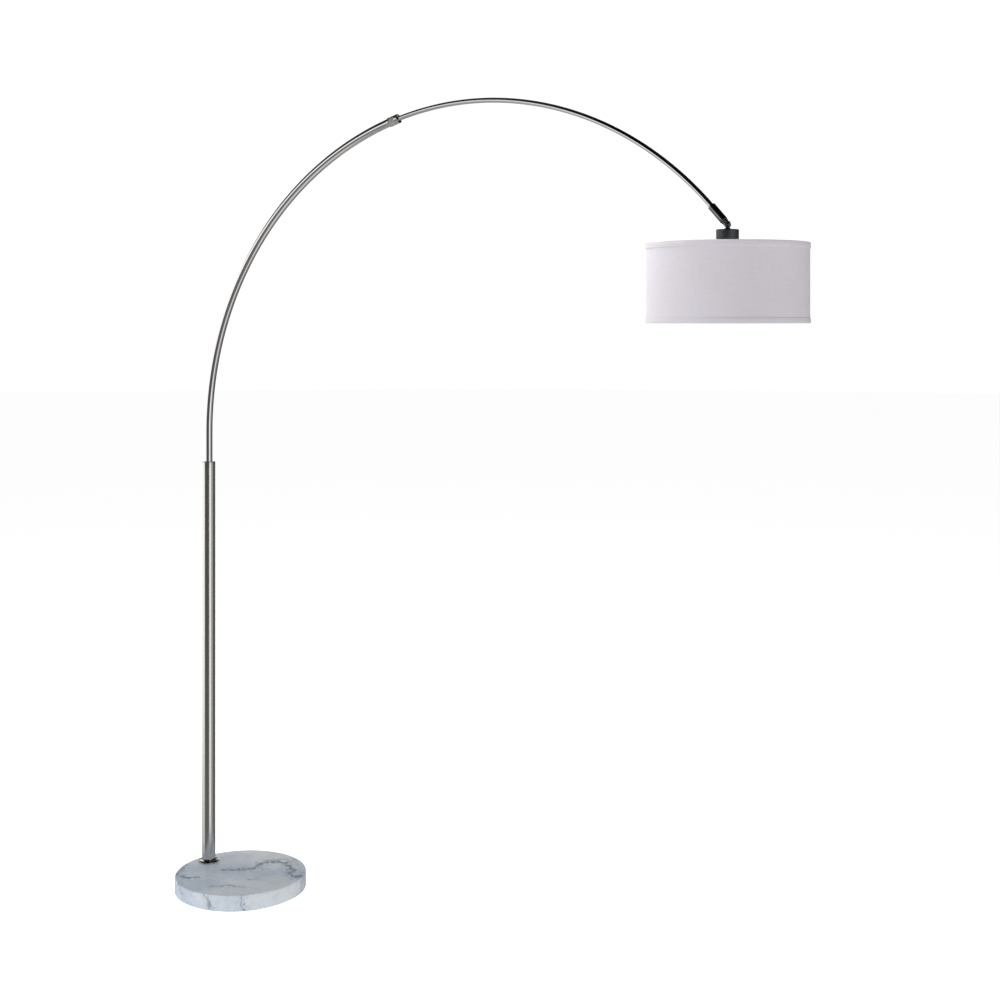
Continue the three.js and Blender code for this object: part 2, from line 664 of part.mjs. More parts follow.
// Three bent spokes welded to a hub and to the shade's top wire.
function shadeSpider() {
  const hub = ring(31, HOLDER_RADIUS + 0.6, HUB_TOP - HUB_THICKNESS, HUB_TOP, 24);
  const wireZ = rollTop - WIRE;
  const spokeZ = HUB_TOP - HUB_THICKNESS / 2;
  const spokes = [];
  for (let i = 0; i < SPOKES; i += 1) {
    const line = new THREE.CatmullRomCurve3([
      new THREE.Vector3(29, 0, spokeZ), new THREE.Vector3(60, 0, spokeZ),
      new THREE.Vector3(hoopRadius - 30, 0, spokeZ + 1), new THREE.Vector3(hoopRadius - 8, 0, spokeZ + 5),
      new THREE.Vector3(hoopRadius, 0, wireZ),
    ], false, 'catmullrom', 0.4);
    spokes.push(tubeAlong(line, 1.9, 0, 9, 6).rotateZ(rad(90) + (i * 2 * Math.PI) / SPOKES));
  }
  return join(hub, hoop(hoopRadius, WIRE, wireZ, SIDES_SHADE), ...spokes);
}

// A folded band: it covers the shade's side for a little way and turns in over the edge.
function trimBand(edge, inward) {
  const fold = edge - inward * SKIN;
  const end = edge - inward * TRIM_HEIGHT;
  const inner = linerOutside - SKIN;
  return turned([
    [inner, edge], [trimOutside, edge], [trimOutside, end], [trimOutside - SKIN, end],
    [trimOutside - SKIN, fold], [inner, fold], [inner, edge],
  ], SIDES_SHADE);
}

place(head, 'shade_spider', shadeSpider(), plainSteel);
place(head, 'shade_bottom_ring', hoop(hoopRadius, WIRE, rollBottom + WIRE, SIDES_SHADE), plainSteel);
place(head, 'shade_fabric', ring(fabricOutside, fabricOutside - SKIN, rollBottom, rollTop, SIDES_SHADE), linen);
place(head, 'shade_liner', ring(linerOutside, linerOutside - SKIN, rollBottom, rollTop, SIDES_SHADE), styrene);
place(head, 'shade_trim_top', trimBand(SHADE_TOP, 1), linen);
place(head, 'shade_trim_bottom', trimBand(SHADE_BOTTOM, -1), linen);

// ---------------------------------------------------------------- bulb

const BULB_CAP_TOP = SHELL_TOP - 3;
const BULB_CAP_FOOT = HOLDER_MOUTH + 1;
const BULB_RADIUS = 30;
const BULB_FOOT = BULB_CAP_TOP - 108;
const BULB_WALL = 1;

// A screw cap: a closed cup with a contact button on top.
function bulbCap() {
  const outer = 13;
  const inner = 12;
  return turned([
    [0, BULB_CAP_TOP], [4, BULB_CAP_TOP], [5, BULB_CAP_TOP - 1.5], [outer - 1.5, BULB_CAP_TOP - 5],
    [outer, BULB_CAP_TOP - 7], [outer, BULB_CAP_FOOT], [inner, BULB_CAP_FOOT], [inner, BULB_CAP_TOP - 8],
    [0, BULB_CAP_TOP - 8],
  ], 20);
}

// A pear-shaped envelope, open at its neck inside the screw cap.
function bulbGlass() {
  const neck = 11.4;
  const shoulder = BULB_CAP_FOOT - GAP;
  const belly = BULB_FOOT + BULB_RADIUS;
  const outline = new THREE.Path();
  outline.moveTo(0, BULB_FOOT);
  outline.absarc(0, belly, BULB_RADIUS, -Math.PI / 2, rad(20), false);
  outline.bezierCurveTo(23, belly + 26, 14.5, belly + 38, neck + 1.2, shoulder);
  const shrink = (BULB_RADIUS - BULB_WALL) / BULB_RADIUS;
  const outside = outline.getPoints(4).map((point) => [point.x, point.y]);
  const inside = outside.slice(0, -1).map(([x, y]) => [x * shrink, belly + (y - belly) * shrink]);
  const mouth = BULB_CAP_FOOT + 6;
  const throat = [[neck, shoulder], [neck, mouth], [neck - BULB_WALL, mouth], [neck - BULB_WALL, shoulder]];
  return turned([...outside, ...throat, ...inside.reverse()], 18);
}

place(head, 'bulb_cap', bulbCap(), plainSteel);
place(head, 'bulb_glass', bulbGlass(), frostedGlass);

// ---------------------------------------------------------------- flex inside the arm

const FLEX_SIDES = 6;
const FLEX_LOWER_END = 24;      // degrees, clear of the upper tube when the arm is pushed in

// From the inlet, under the clamp nut, and up through the tie tube into the pole's foot.
function inletFlex() {
  const runZ = BASE_FOOT + 0.6 + FLEX_RADIUS;
  const reach = BASE_RADIUS - POLE_OFFSET - 1;
  const across = (distance, z) => new THREE.Vector3(distance, 0, z).applyAxisAngle(
    new THREE.Vector3(0, 0, 1), channelTurn,
  );
  const line = new THREE.CatmullRomCurve3([
    across(reach, INLET_Z), across(reach - 13, INLET_Z), across(reach - 22, runZ), across(10, runZ),
    across(5, runZ + 1), across(1.3, runZ + 4.4), across(0, runZ + 10), across(0, plugTop),
  ], false, 'centripetal');
  return tubeAlong(line, FLEX_RADIUS, 0, 24, FLEX_SIDES);
}

function headFlex() {
  return rod(FLEX_RADIUS - GAP, HOLDER_TOP - 6, CAP_TOP - 2, FLEX_SIDES);
}

const lowerFlexLine = new ArmLine(0, FLEX_LOWER_END, SPRING_Z - SEAT_TOP + 16, 0);
const upperFlexLine = new ArmLine(UPPER_START_ANGLE + 0.5, ARC_END_ANGLE, 0, TUBE_IN_SLEEVE);

place(onPole, 'flex_inlet', inletFlex(), rubber);
place(onPole, 'flex_pole', rod(FLEX_RADIUS, plugTop + GAP, SEAT_TOP - 20, FLEX_SIDES), rubber);
place(onPole, 'flex_lower', tubeAlong(lowerFlexLine, FLEX_RADIUS, 0, 12, FLEX_SIDES), rubber);
place(onPole, 'flex_upper', tubeAlong(upperFlexLine, FLEX_RADIUS, 0, 20, FLEX_SIDES), rubber);
place(head, 'flex_head', headFlex(), rubber);

export default lamp;
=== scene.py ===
# %% [markdown]
# # An arc floor lamp
# A marble disc holds a steel pole. An arm in two tubes leaves the top of the pole and bends over
# in one wide arc, and a drum shade hangs from its end. The engineering model is the frame: it says
# where every part sits and what it moves with. Here each part that shows gets a finer mesh and a
# finish of its own.

import json
import math

import bmesh
import bpy
import numpy as np
from mathutils import Matrix, Vector


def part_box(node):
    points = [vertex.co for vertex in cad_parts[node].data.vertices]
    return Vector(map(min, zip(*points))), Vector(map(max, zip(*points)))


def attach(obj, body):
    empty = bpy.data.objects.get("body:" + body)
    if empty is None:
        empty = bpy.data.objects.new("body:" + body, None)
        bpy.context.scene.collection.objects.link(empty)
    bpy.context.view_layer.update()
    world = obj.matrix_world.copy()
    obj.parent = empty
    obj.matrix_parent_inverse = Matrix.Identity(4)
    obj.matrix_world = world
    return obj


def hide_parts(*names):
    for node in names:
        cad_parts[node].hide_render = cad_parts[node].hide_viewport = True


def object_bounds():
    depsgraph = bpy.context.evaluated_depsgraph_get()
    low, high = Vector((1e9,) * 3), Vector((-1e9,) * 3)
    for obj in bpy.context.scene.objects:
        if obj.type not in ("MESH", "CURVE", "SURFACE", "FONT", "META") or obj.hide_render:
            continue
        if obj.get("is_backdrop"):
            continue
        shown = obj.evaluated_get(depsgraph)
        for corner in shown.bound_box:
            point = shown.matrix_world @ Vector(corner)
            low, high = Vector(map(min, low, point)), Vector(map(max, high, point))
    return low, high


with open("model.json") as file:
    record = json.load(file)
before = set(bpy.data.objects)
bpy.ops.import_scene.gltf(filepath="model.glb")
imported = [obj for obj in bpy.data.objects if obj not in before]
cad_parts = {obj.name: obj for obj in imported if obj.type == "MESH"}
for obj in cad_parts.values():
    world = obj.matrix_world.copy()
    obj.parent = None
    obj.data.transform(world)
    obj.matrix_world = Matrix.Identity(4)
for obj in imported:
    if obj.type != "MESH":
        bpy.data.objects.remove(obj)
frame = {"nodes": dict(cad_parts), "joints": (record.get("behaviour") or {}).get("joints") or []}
cad_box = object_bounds()
joints = {joint["name"]: joint for joint in frame["joints"]}

# %% [markdown]
# ## The lines that everything sits on
# The pole is upright, the arm is an arc in an upright plane, and the head hangs from a pivot.
# Their places come from the joints, so a change in the frame carries through to every mesh.

# %% Axes and arc from the joints
pole_axis = Vector(joints["arm_swivel"]["pos_m"])
arc_centre = Vector(joints["arm_telescope"]["pos_m"])
pivot = Vector(joints["head_tilt"]["pos_m"])
collar_along = Vector(joints["collar_twist"]["axis"])

ARC_RADIUS = arc_centre.x - pole_axis.x
COLLAR_ANGLE = math.atan2(collar_along.x, collar_along.z)
spoke = pivot - arc_centre
PIVOT_REACH = math.sqrt(spoke.length_squared - ARC_RADIUS**2)
ARC_END_ANGLE = math.pi - math.atan2(spoke.z, spoke.x) - math.atan2(PIVOT_REACH, ARC_RADIUS)
print("arc radius", round(ARC_RADIUS, 4), "m, pivot", round(PIVOT_REACH, 4), "m past its end")
collar_turn, end_turn = (round(math.degrees(angle), 1) for angle in (COLLAR_ANGLE, ARC_END_ANGLE))
print("collar at", collar_turn, "deg, arc ends at", end_turn, "deg")

# %% [markdown]
# ## Camera
# The camera stands at about eye height, a little over four metres away, and looks level. Its frame is
# shifted down instead of tilted, which keeps the pole and the sides of the shade upright.

# %% Place the camera
VIEW_TURN = math.radians(30.4)
CAMERA_HEIGHT = 1.515
CAMERA_DISTANCE = 4.219
CAMERA_SIDESTEP = 0.793
LENS_MM = 55.8
FRAME_SHIFT = -0.18

to_right = Vector((math.cos(VIEW_TURN), math.sin(VIEW_TURN), 0))
to_camera = Vector((math.sin(VIEW_TURN), -math.cos(VIEW_TURN), 0))
eye = pole_axis + to_right * CAMERA_SIDESTEP + to_camera * CAMERA_DISTANCE

lens = bpy.data.cameras.new("camera")
lens.sensor_width = 36
lens.lens = LENS_MM
lens.shift_y = FRAME_SHIFT
camera = bpy.data.objects.new("camera", lens)
camera.location = (eye.x, eye.y, CAMERA_HEIGHT)
camera.rotation_euler = (math.pi / 2, 0, VIEW_TURN)
bpy.context.scene.collection.objects.link(camera)
bpy.context.scene.camera = camera
bpy.context.scene.view_settings.view_transform = "Standard"
print("camera at", [round(value, 3) for value in camera.location])

# %% [markdown]
# ## Node helpers
# Materials here are trees of nodes. One helper adds a node, sets its choices and fills its inputs, and
# an input takes either a number or the output of another node. That keeps each finish to a few lines.

# %% Helpers for node trees
def fill(tree, socket, value):
    """Gives a socket a plain value, or links another node's output to it."""
    if isinstance(value, bpy.types.NodeSocket):
        tree.links.new(value, socket)
    else:
        socket.default_value = value


def add(tree, kind, inputs=None, **choices):
    """Adds a shader node. inputs maps a socket's name or number to a value or to another node's output."""
    node = tree.nodes.new("ShaderNode" + kind)
    for name, value in choices.items():
        setattr(node, name, value)
    for name, value in (inputs or {}).items():
        fill(tree, node.inputs[name], value)
    return node


def remap(tree, value, low, high, to_low=0.0, to_high=1.0):
    """A value moved from one range to another, held at the ends with a smooth step."""
    inputs = {"Value": value, "From Min": low, "From Max": high, "To Min": to_low, "To Max": to_high}
    return add(tree, "MapRange", inputs, interpolation_type="SMOOTHSTEP").outputs["Result"]


def blend_colour(tree, factor, first, second):
    """Mixes two colours. Each may be a colour or an output."""
    return add(tree, "Mix", {0: factor, 6: first, 7: second}, data_type="RGBA").outputs[2]


def multiply(tree, first, second):
    return add(tree, "Math", {0: first, 1: second}, operation="MULTIPLY").outputs[0]


def multiply_add(tree, value, factor, base):
    return add(tree, "Math", {0: value, 1: factor, 2: base}, operation="MULTIPLY_ADD").outputs[0]


def vectors(tree, operation, first, second):
    """Vector arithmetic. A dot product or a distance gives a value, and the others give a vector."""
    node = add(tree, "VectorMath", {0: first, 1: second}, operation=operation)
    return node.outputs["Value" if operation in ("DOT_PRODUCT", "DISTANCE") else "Vector"]


def own_place(tree):
    """Coordinates in metres that stay with the part."""
    return add(tree, "TexCoord").outputs["Object"]


def noise(tree, place, scale, detail, **more):
    """Noise from 0 to 1. more may give its Roughness or Distortion."""
    return add(tree, "TexNoise", {"Vector": place, "Scale": scale, "Detail": detail, **more}).outputs["Fac"]


# %% [markdown]
# ## Effects that several finishes share
# Brushing, worn edges, dust, threads and stone veins each appear on more than one part, or several
# times on one. Each is a node group that is built once, with named inputs, and every material that
# uses it gives it its own values. A group gives only masks and values: the shader stays outside.

# %% A maker for node groups
def effect(name, inputs, outputs):
    """A new node group with float, vector or colour sockets. Returns its tree, input and output nodes."""
    group = bpy.data.node_groups.new(name, "ShaderNodeTree")
    for socket, (kind, value) in inputs.items():
        made = group.interface.new_socket(socket, in_out="INPUT", socket_type="NodeSocket" + kind)
        if value is not None:
            made.default_value = value
    for socket in outputs:
        group.interface.new_socket(socket, in_out="OUTPUT", socket_type="NodeSocketFloat")
    return group, group.nodes.new("NodeGroupInput").outputs, group.nodes.new("NodeGroupOutput").inputs


def use(tree, group, **inputs):
    """Places an effect in a material. Input names have underscores for spaces."""
    sockets = {name.replace("_", " "): value for name, value in inputs.items()}
    return add(tree, "Group", sockets, node_tree=group).outputs


# %% [markdown]
# ### Brushed metal
# An abrasive belt leaves fine parallel scratches. Noise stretched a hundred times along one direction
# looks the same, and a second, broader noise gives the soft patches where the belt pressed harder.

# %% Build the brushing effect
brushing, given, result = effect(
    "brushing",
    {"Coordinates": ("Vector", None), "Across": ("Float", 900.0), "Along": ("Float", 6.0)},
    ("Scratches", "Patches"),
)
stretch = add(brushing, "CombineXYZ", {"X": given["Across"], "Y": given["Along"], "Z": 1.0}).outputs[0]
laid = vectors(brushing, "MULTIPLY", given["Coordinates"], stretch)
brushing.links.new(noise(brushing, laid, 1.0, 4.0, Roughness=0.65), result["Scratches"])
brushing.links.new(noise(brushing, given["Coordinates"], 24.0, 3.0), result["Patches"])
print("effect:", brushing.name)

# %% [markdown]
# ### Worn edges and settled dust
# Hands and cloths polish outer edges first. Pointiness is high there, and noise breaks the line up.
# Dust lies on what faces up, in drifts, so its mask is the upward part of the normal times noise.

# %% Build the wear and dust effects
edge_wear, given, result = effect(
    "edge_wear", {"Start": ("Float", 0.52), "Full": ("Float", 0.6), "Grain": ("Float", 600.0)}, ("Mask",)
)
corner = add(edge_wear, "NewGeometry").outputs["Pointiness"]
ramp = add(edge_wear, "MapRange", {"Value": corner, "From Min": given["Start"], "From Max": given["Full"]})
patchy = remap(edge_wear, noise(edge_wear, own_place(edge_wear), given["Grain"], 3.0), 0.35, 0.6)
edge_wear.links.new(multiply(edge_wear, ramp.outputs["Result"], patchy), result["Mask"])

dust, given, result = effect("settled_dust", {"Amount": ("Float", 0.2), "Drift": ("Float", 30.0)}, ("Mask",))
facing = add(dust, "SeparateXYZ", {0: add(dust, "NewGeometry").outputs["Normal"]}).outputs["Z"]
drift = noise(dust, own_place(dust), given["Drift"], 5.0, Roughness=0.7)
lying = multiply(dust, remap(dust, facing, 0.5, 1.0), remap(dust, drift, 0.4, 0.75))
dust.links.new(multiply(dust, lying, given["Amount"]), result["Mask"])
print("effects:", edge_wear.name, dust.name)

# %% [markdown]
# ### Woven threads
# Plain cloth is threads over and under each other. Two stretched noises, one along each thread
# direction, give threads of uneven thickness, and a fine checker of waves sets which one is on top.

# %% Build the weave effect
weave, given, result = effect(
    "woven_threads",
    {"Coordinates": ("Vector", None), "Threads": ("Float", 1600.0), "Slub": ("Float", 60.0)},
    ("Height", "Shade"),
)
plain = add(weave, "SeparateXYZ", {0: given["Coordinates"]})
thread_waves = []
for direction in ("X", "Y"):
    turns = multiply(weave, plain.outputs[direction], given["Threads"])
    thread_waves.append(add(weave, "Math", {0: turns}, operation="SINE").outputs[0])
over_under = multiply(weave, *thread_waves)
slubs = []
for across, along in ((given["Threads"], given["Slub"]), (given["Slub"], given["Threads"])):
    grid = add(weave, "CombineXYZ", {"X": across, "Y": along, "Z": 1.0}).outputs[0]
    slubs.append(noise(weave, vectors(weave, "MULTIPLY", given["Coordinates"], grid), 0.35, 2.0))
uneven = add(weave, "Math", {0: slubs[0], 1: slubs[1]}, operation="ADD").outputs[0]
weave.links.new(multiply_add(weave, over_under, 0.25, uneven), result["Height"])
weave.links.new(remap(weave, uneven, 0.7, 1.3), result["Shade"])
print("effect:", weave.name)

# %% [markdown]
# ### One vein in the stone
# A vein is a crack that filled with darker mineral. It is a thin sheet, and on a cut face it shows as
# a wandering line. Here it is the distance to a straight stretch between two points, measured from
# coordinates that noise has already pushed about, so the line wanders and its width comes and goes.

# %% Build the vein effect
vein, given, result = effect(
    "stone_vein",
    {
        "Coordinates": ("Vector", None),
        "Start": ("Vector", None),
        "End": ("Vector", None),
        "Width": ("Float", 0.002),
    },
    ("Mask",),
)
offset = vectors(vein, "SUBTRACT", given["Coordinates"], given["Start"])
run = vectors(vein, "SUBTRACT", given["End"], given["Start"])
reached = vectors(vein, "DOT_PRODUCT", offset, run)
whole = vectors(vein, "DOT_PRODUCT", run, run)
share = add(vein, "Math", {0: reached, 1: whole}, operation="DIVIDE", use_clamp=True).outputs[0]
nearest = add(vein, "VectorMath", {0: run, "Scale": share}, operation="SCALE").outputs[0]
away = vectors(vein, "DISTANCE", offset, nearest)
swell = noise(vein, given["Coordinates"], 95.0, 4.0)
wide = multiply(vein, given["Width"], remap(vein, swell, 0.36, 0.66, 0.04, 1.9))
line = add(vein, "MapRange", {"Value": away, "From Min": 0.0, "From Max": wide, "To Min": 1.0, "To Max": 0.0})
vein.links.new(line.outputs["Result"], result["Mask"])
print("effect:", vein.name)

# %% [markdown]
# ## Finishes
# Every finish is a Principled shader with its own pattern. What is the same all over a surface is set
# on the shader, and only what varies comes from nodes.

# %% A maker for finishes
def finish(name, slot, **sockets):
    """A material with a Principled shader. Socket names have underscores for spaces."""
    material = bpy.data.materials.new(name)
    material.use_nodes = True
    tree = material.node_tree
    shader = next(node for node in tree.nodes if node.type == "BSDF_PRINCIPLED")
    for socket, value in sockets.items():
        shader.inputs[socket.replace("_", " ")].default_value = value
    material["slot"] = slot
    return material, tree, shader


def paint(tree, shader, **sockets):
    """Links outputs to the shader's inputs. Socket names have underscores for spaces."""
    for socket, value in sockets.items():
        tree.links.new(value, shader.inputs[socket.replace("_", " ")])


def surface_metres(tree):
    """Coordinates laid on the surface in metres: x round the part, y along it."""
    return add(tree, "UVMap", uv_map="metres").outputs["UV"]


def raise_surface(tree, shader, height, distance, strength=1.0):
    """Sends a height to the shader's normal."""
    bump = add(tree, "Bump", {"Height": height, "Distance": distance, "Strength": strength})
    tree.links.new(bump.outputs["Normal"], shader.inputs["Normal"])


def grey(level, blue=0.0):
    return (level - blue, level, level + blue, 1.0)


# %% [markdown]
# ### Brushed nickel on the pole and the arm
# The tubes are steel with a satin nickel plate. Nickel is a slightly warm grey, and fine lengthwise
# brushing spreads reflections a little, so bright and dark bands run along the tube with soft borders.

# %% Make the nickel finishes
def brushed_nickel(name, colour, roughness, across, along):
    material, tree, shader = finish(name, "satin_steel", Metallic=1.0)
    marks = use(tree, brushing, Coordinates=surface_metres(tree), Across=across, Along=along)
    worn = use(tree, edge_wear)["Mask"]
    tone = remap(tree, marks["Scratches"], 0.3, 0.7)
    darker = tuple(channel * 0.94 for channel in colour[:3]) + (1.0,)
    rough = remap(tree, marks["Scratches"], 0.25, 0.75, roughness - 0.03, roughness + 0.04)
    patched = remap(tree, marks["Patches"], 0.3, 0.7, 0.93, 1.08)
    smoothed = multiply_add(tree, worn, -0.06, multiply(tree, rough, patched))
    paint(tree, shader, Base_Color=blend_colour(tree, tone, darker, colour), Roughness=smoothed)
    raise_surface(tree, shader, marks["Scratches"], 0.00001, 0.2)
    return material


nickel_pole = brushed_nickel("brushed_nickel_pole", (0.70, 0.68, 0.66, 1.0), 0.20, 1400.0, 7.0)
nickel_arm = brushed_nickel("brushed_nickel_arm", (0.72, 0.70, 0.69, 1.0), 0.13, 1600.0, 9.0)
nickel_turned = brushed_nickel("turned_nickel", (0.66, 0.65, 0.63, 1.0), 0.17, 30.0, 2200.0)
print("finishes:", nickel_pole.name, nickel_arm.name, nickel_turned.name)

# %% [markdown]
# ### Dark nickel on the end of the arm
# The end sleeve, the knuckle and the socket cap are plated almost black. The plate is thin, so the
# bright metal starts to show along edges that hands touch.

# %% Make the dark nickel
def dark_nickel(name, level, roughness):
    material, tree, shader = finish(name, "dark_steel", Metallic=1.0)
    marks = use(tree, brushing, Coordinates=surface_metres(tree), Across=50.0, Along=2400.0)
    worn = use(tree, edge_wear, Start=0.53, Full=0.62)["Mask"]
    tone = remap(tree, marks["Patches"], 0.3, 0.7)
    plate_colour = blend_colour(tree, tone, grey(level * 0.85, 0.006), grey(level * 1.1, 0.008))
    rubbed = blend_colour(tree, multiply(tree, worn, 0.5), plate_colour, grey(0.4))
    rough = remap(tree, marks["Scratches"], 0.25, 0.75, roughness - 0.05, roughness + 0.05)
    paint(tree, shader, Base_Color=rubbed, Roughness=rough)
    raise_surface(tree, shader, marks["Scratches"], 0.00002, 0.3)
    return material


gunmetal = dark_nickel("dark_nickel", 0.21, 0.20)
satin_gunmetal = dark_nickel("satin_dark_nickel", 0.14, 0.55)
print("finishes:", gunmetal.name, satin_gunmetal.name)

# %% [markdown]
# ### Zinc plate, brass and tin on the small parts
# Fasteners come out of a barrel-plating line with a mottled shine. Brass and tinned contacts are the
# same recipe in other colours.

# %% Make the small metals
def plated(name, slot, light, dark, roughness, metallic=1.0):
    material, tree, shader = finish(name, slot, Metallic=metallic)
    mottle = noise(tree, own_place(tree), 420.0, 4.0, Roughness=0.6)
    tone = blend_colour(tree, remap(tree, mottle, 0.35, 0.65), dark, light)
    rough = remap(tree, mottle, 0.3, 0.7, roughness - 0.06, roughness + 0.08)
    paint(tree, shader, Base_Color=tone, Roughness=rough)
    raise_surface(tree, shader, mottle, 0.00003, 0.4)
    return material


cast_zinc = plated("cast_zinc", "bright_steel", grey(0.88, 0.01), grey(0.76, 0.01), 0.5, 0.55)
zinc = plated("zinc_plate", "bright_steel", grey(0.80, 0.01), grey(0.62, 0.01), 0.34)
brass = plated("rolled_brass", "brass", (0.72, 0.55, 0.26, 1.0), (0.52, 0.37, 0.15, 1.0), 0.26)
tin = plated("tinned_cap", "bright_steel", grey(0.72), grey(0.56), 0.3)
print("finishes:", cast_zinc.name, zinc.name, brass.name, tin.name)

# %% [markdown]
# ### Polished marble
# White marble with a blue-grey cast: soft clouds, faint hairlines everywhere, and a few dark veins
# that cross the top and run down the side. The clouds and hairlines are noise. The dark veins are
# chosen one by one, because on real stone they are what the eye remembers.

# %% Choose where the dark veins run
MAIN_VEIN = [
    (-0.052, -0.014), (-0.016, 0.012), (0.014, 0.034), (0.008, 0.072), (0.012, 0.100), (0.062, 0.116),
    (0.112, 0.082),
]
BACK_VEIN = [(0.012, 0.100), (0.034, 0.134), (0.075, 0.148)]
LEFT_VEIN = [(-0.140, -0.090), (-0.128, -0.110), (-0.092, -0.104), (-0.072, -0.086)]
RIM_VEIN = [(-0.165, -0.030), (-0.148, -0.060), (-0.140, -0.090)]
FRONT_VEIN = [(0.000, -0.122), (0.032, -0.101), (0.043, -0.094), (0.078, -0.080)]
MIDDLE_VEIN = [(0.050, -0.032), (0.068, -0.020)]
RIGHT_VEIN = [(0.112, 0.082), (0.118, 0.058), (0.150, 0.046), (0.160, 0.062)]
SIDE_VEINS = [
    [(0.024, -0.172, 0.042), (0.046, -0.168, 0.004)],
    [(0.110, -0.133, 0.038), (0.116, -0.129, 0.006)],
    [(-0.086, -0.151, 0.044), (-0.060, -0.163, 0.022)],
]
vein_runs = [
    (MAIN_VEIN, 0.0052, 1.0),
    (BACK_VEIN, 0.0034, 0.6),
    (LEFT_VEIN, 0.0050, 0.85),
    (RIM_VEIN, 0.0040, 0.5),
    (FRONT_VEIN, 0.0032, 0.5),
    (MIDDLE_VEIN, 0.0028, 0.45),
    (RIGHT_VEIN, 0.0062, 0.7),
] + [(run, 0.0036, 0.7) for run in SIDE_VEINS]
print("dark veins:", len(vein_runs))


# %% Make the marble
WHITE_STONE = (0.79, 0.835, 0.875, 1)
GREY_STONE = (0.56, 0.645, 0.76, 1)
HAZE = (0.42, 0.50, 0.63, 1)
PALE_MINERAL = (0.36, 0.43, 0.54, 1)
DARK_MINERAL = (0.085, 0.11, 0.16, 1)


def pushed(tree, spot, scale, reach, seed):
    """Coordinates moved about by noise, up to half of reach each way."""
    shifted = vectors(tree, "ADD", spot, (seed, seed, seed))
    push = add(tree, "TexNoise", {"Vector": shifted, "Scale": scale, "Detail": 5.0, "Roughness": 0.65})
    centred = vectors(tree, "SUBTRACT", push.outputs["Color"], (0.5, 0.5, 0.5))
    scaled = add(tree, "VectorMath", {0: centred, "Scale": reach}, operation="SCALE").outputs[0]
    return vectors(tree, "ADD", spot, scaled)


def polished_marble():
    material, tree, shader = finish("polished_marble", "marble", IOR=1.5, Specular_IOR_Level=0.15)
    spot = own_place(tree)
    moved = pushed(tree, spot, 42.0, 0.040, 0.0)
    moved_again = pushed(tree, spot, 60.0, 0.052, 3.0)

    clouds = noise(tree, moved, 9.0, 6.0, Roughness=0.6)
    colour = blend_colour(tree, remap(tree, clouds, 0.3, 0.7), GREY_STONE, WHITE_STONE)
    haze = noise(tree, moved, 30.0, 8.0, Roughness=0.72)
    colour = blend_colour(tree, remap(tree, haze, 0.5, 0.8, 0.0, 0.45), colour, HAZE)

    thin = noise(tree, moved, 15.0, 3.0)
    middle = add(tree, "Math", {0: thin, 1: 0.5}, operation="SUBTRACT").outputs[0]
    ridge = add(tree, "Math", {0: middle}, operation="ABSOLUTE").outputs[0]
    hairline = remap(tree, ridge, 0.0, 0.014, 0.30, 0.0)
    colour = blend_colour(tree, hairline, colour, PALE_MINERAL)

    for points, width, depth in vein_runs:
        for strand, share in ((moved, 1.0), (moved_again, 0.62)):
            from_above = (1, 1, 1) if len(points[0]) == 3 else (1, 1, 0)
            flat = vectors(tree, "MULTIPLY", strand, from_above)
            for start, end in zip(points, points[1:]):
                run = {"Coordinates": flat, "Start": (*start, 0)[:3], "End": (*end, 0)[:3]}
                halo = use(tree, vein, Width=width * 4.5, **run)["Mask"]
                core = use(tree, vein, Width=width * share, **run)["Mask"]
                colour = blend_colour(tree, multiply(tree, halo, depth * 0.34), colour, PALE_MINERAL)
                colour = blend_colour(tree, multiply(tree, core, depth * share), colour, DARK_MINERAL)
    settled = use(tree, dust, Amount=0.08)["Mask"]
    dulled = multiply_add(tree, settled, 0.6, remap(tree, haze, 0.3, 0.7, 0.16, 0.24))
    paint(tree, shader, Base_Color=blend_colour(tree, settled, colour, grey(0.8)), Roughness=dulled)
    raise_surface(tree, shader, haze, 0.0002, 0.06)
    return material


marble = polished_marble()
print("finish:", marble.name, "nodes:", len(marble.node_tree.nodes))

# %% [markdown]
# ### Shade cloth
# The drum is a plain-woven cotton glued to a clear backing, with a folded strip of the same cloth
# along both edges. Up close it has slubs both ways. From a few steps away it is an even, matt,
# slightly lilac grey with a soft sheen at the edges.

# %% Make the cloth and the liner
def shade_cloth(name, colour, threads):
    material, tree, shader = finish(
        name, "shade_fabric", Roughness=0.88, Sheen_Weight=0.25, Sheen_Roughness=0.5, Specular_IOR_Level=0.2
    )
    cloth = use(tree, weave, Coordinates=surface_metres(tree), Threads=threads)
    shaded = tuple(channel * 0.90 for channel in colour[:3]) + (1.0,)
    blotch = noise(tree, own_place(tree), 6.0, 4.0)
    woven = blend_colour(tree, cloth["Shade"], shaded, colour)
    aged = blend_colour(tree, remap(tree, blotch, 0.4, 0.75, 0.0, 0.25), woven, (0.70, 0.67, 0.66, 1.0))
    paint(tree, shader, Base_Color=aged)
    raise_surface(tree, shader, cloth["Height"], 0.00012, 0.5)
    return material


cotton = shade_cloth("shade_cotton", (0.83, 0.79, 0.855, 1.0), 5200.0)
cotton_trim = shade_cloth("shade_cotton_folded", (0.81, 0.775, 0.83, 1.0), 5200.0)


def white_liner():
    material, tree, shader = finish("white_liner", "shade_liner", IOR=1.49)
    ripple = noise(tree, own_place(tree), 14.0, 3.0)
    white = blend_colour(tree, remap(tree, ripple, 0.3, 0.7), (0.80, 0.79, 0.76, 1), (0.86, 0.855, 0.84, 1))
    paint(tree, shader, Base_Color=white, Roughness=remap(tree, ripple, 0.3, 0.7, 0.34, 0.46))
    raise_surface(tree, shader, ripple, 0.0015, 0.2)
    return material


liner = white_liner()
print("finishes:", cotton.name, cotton_trim.name, liner.name)

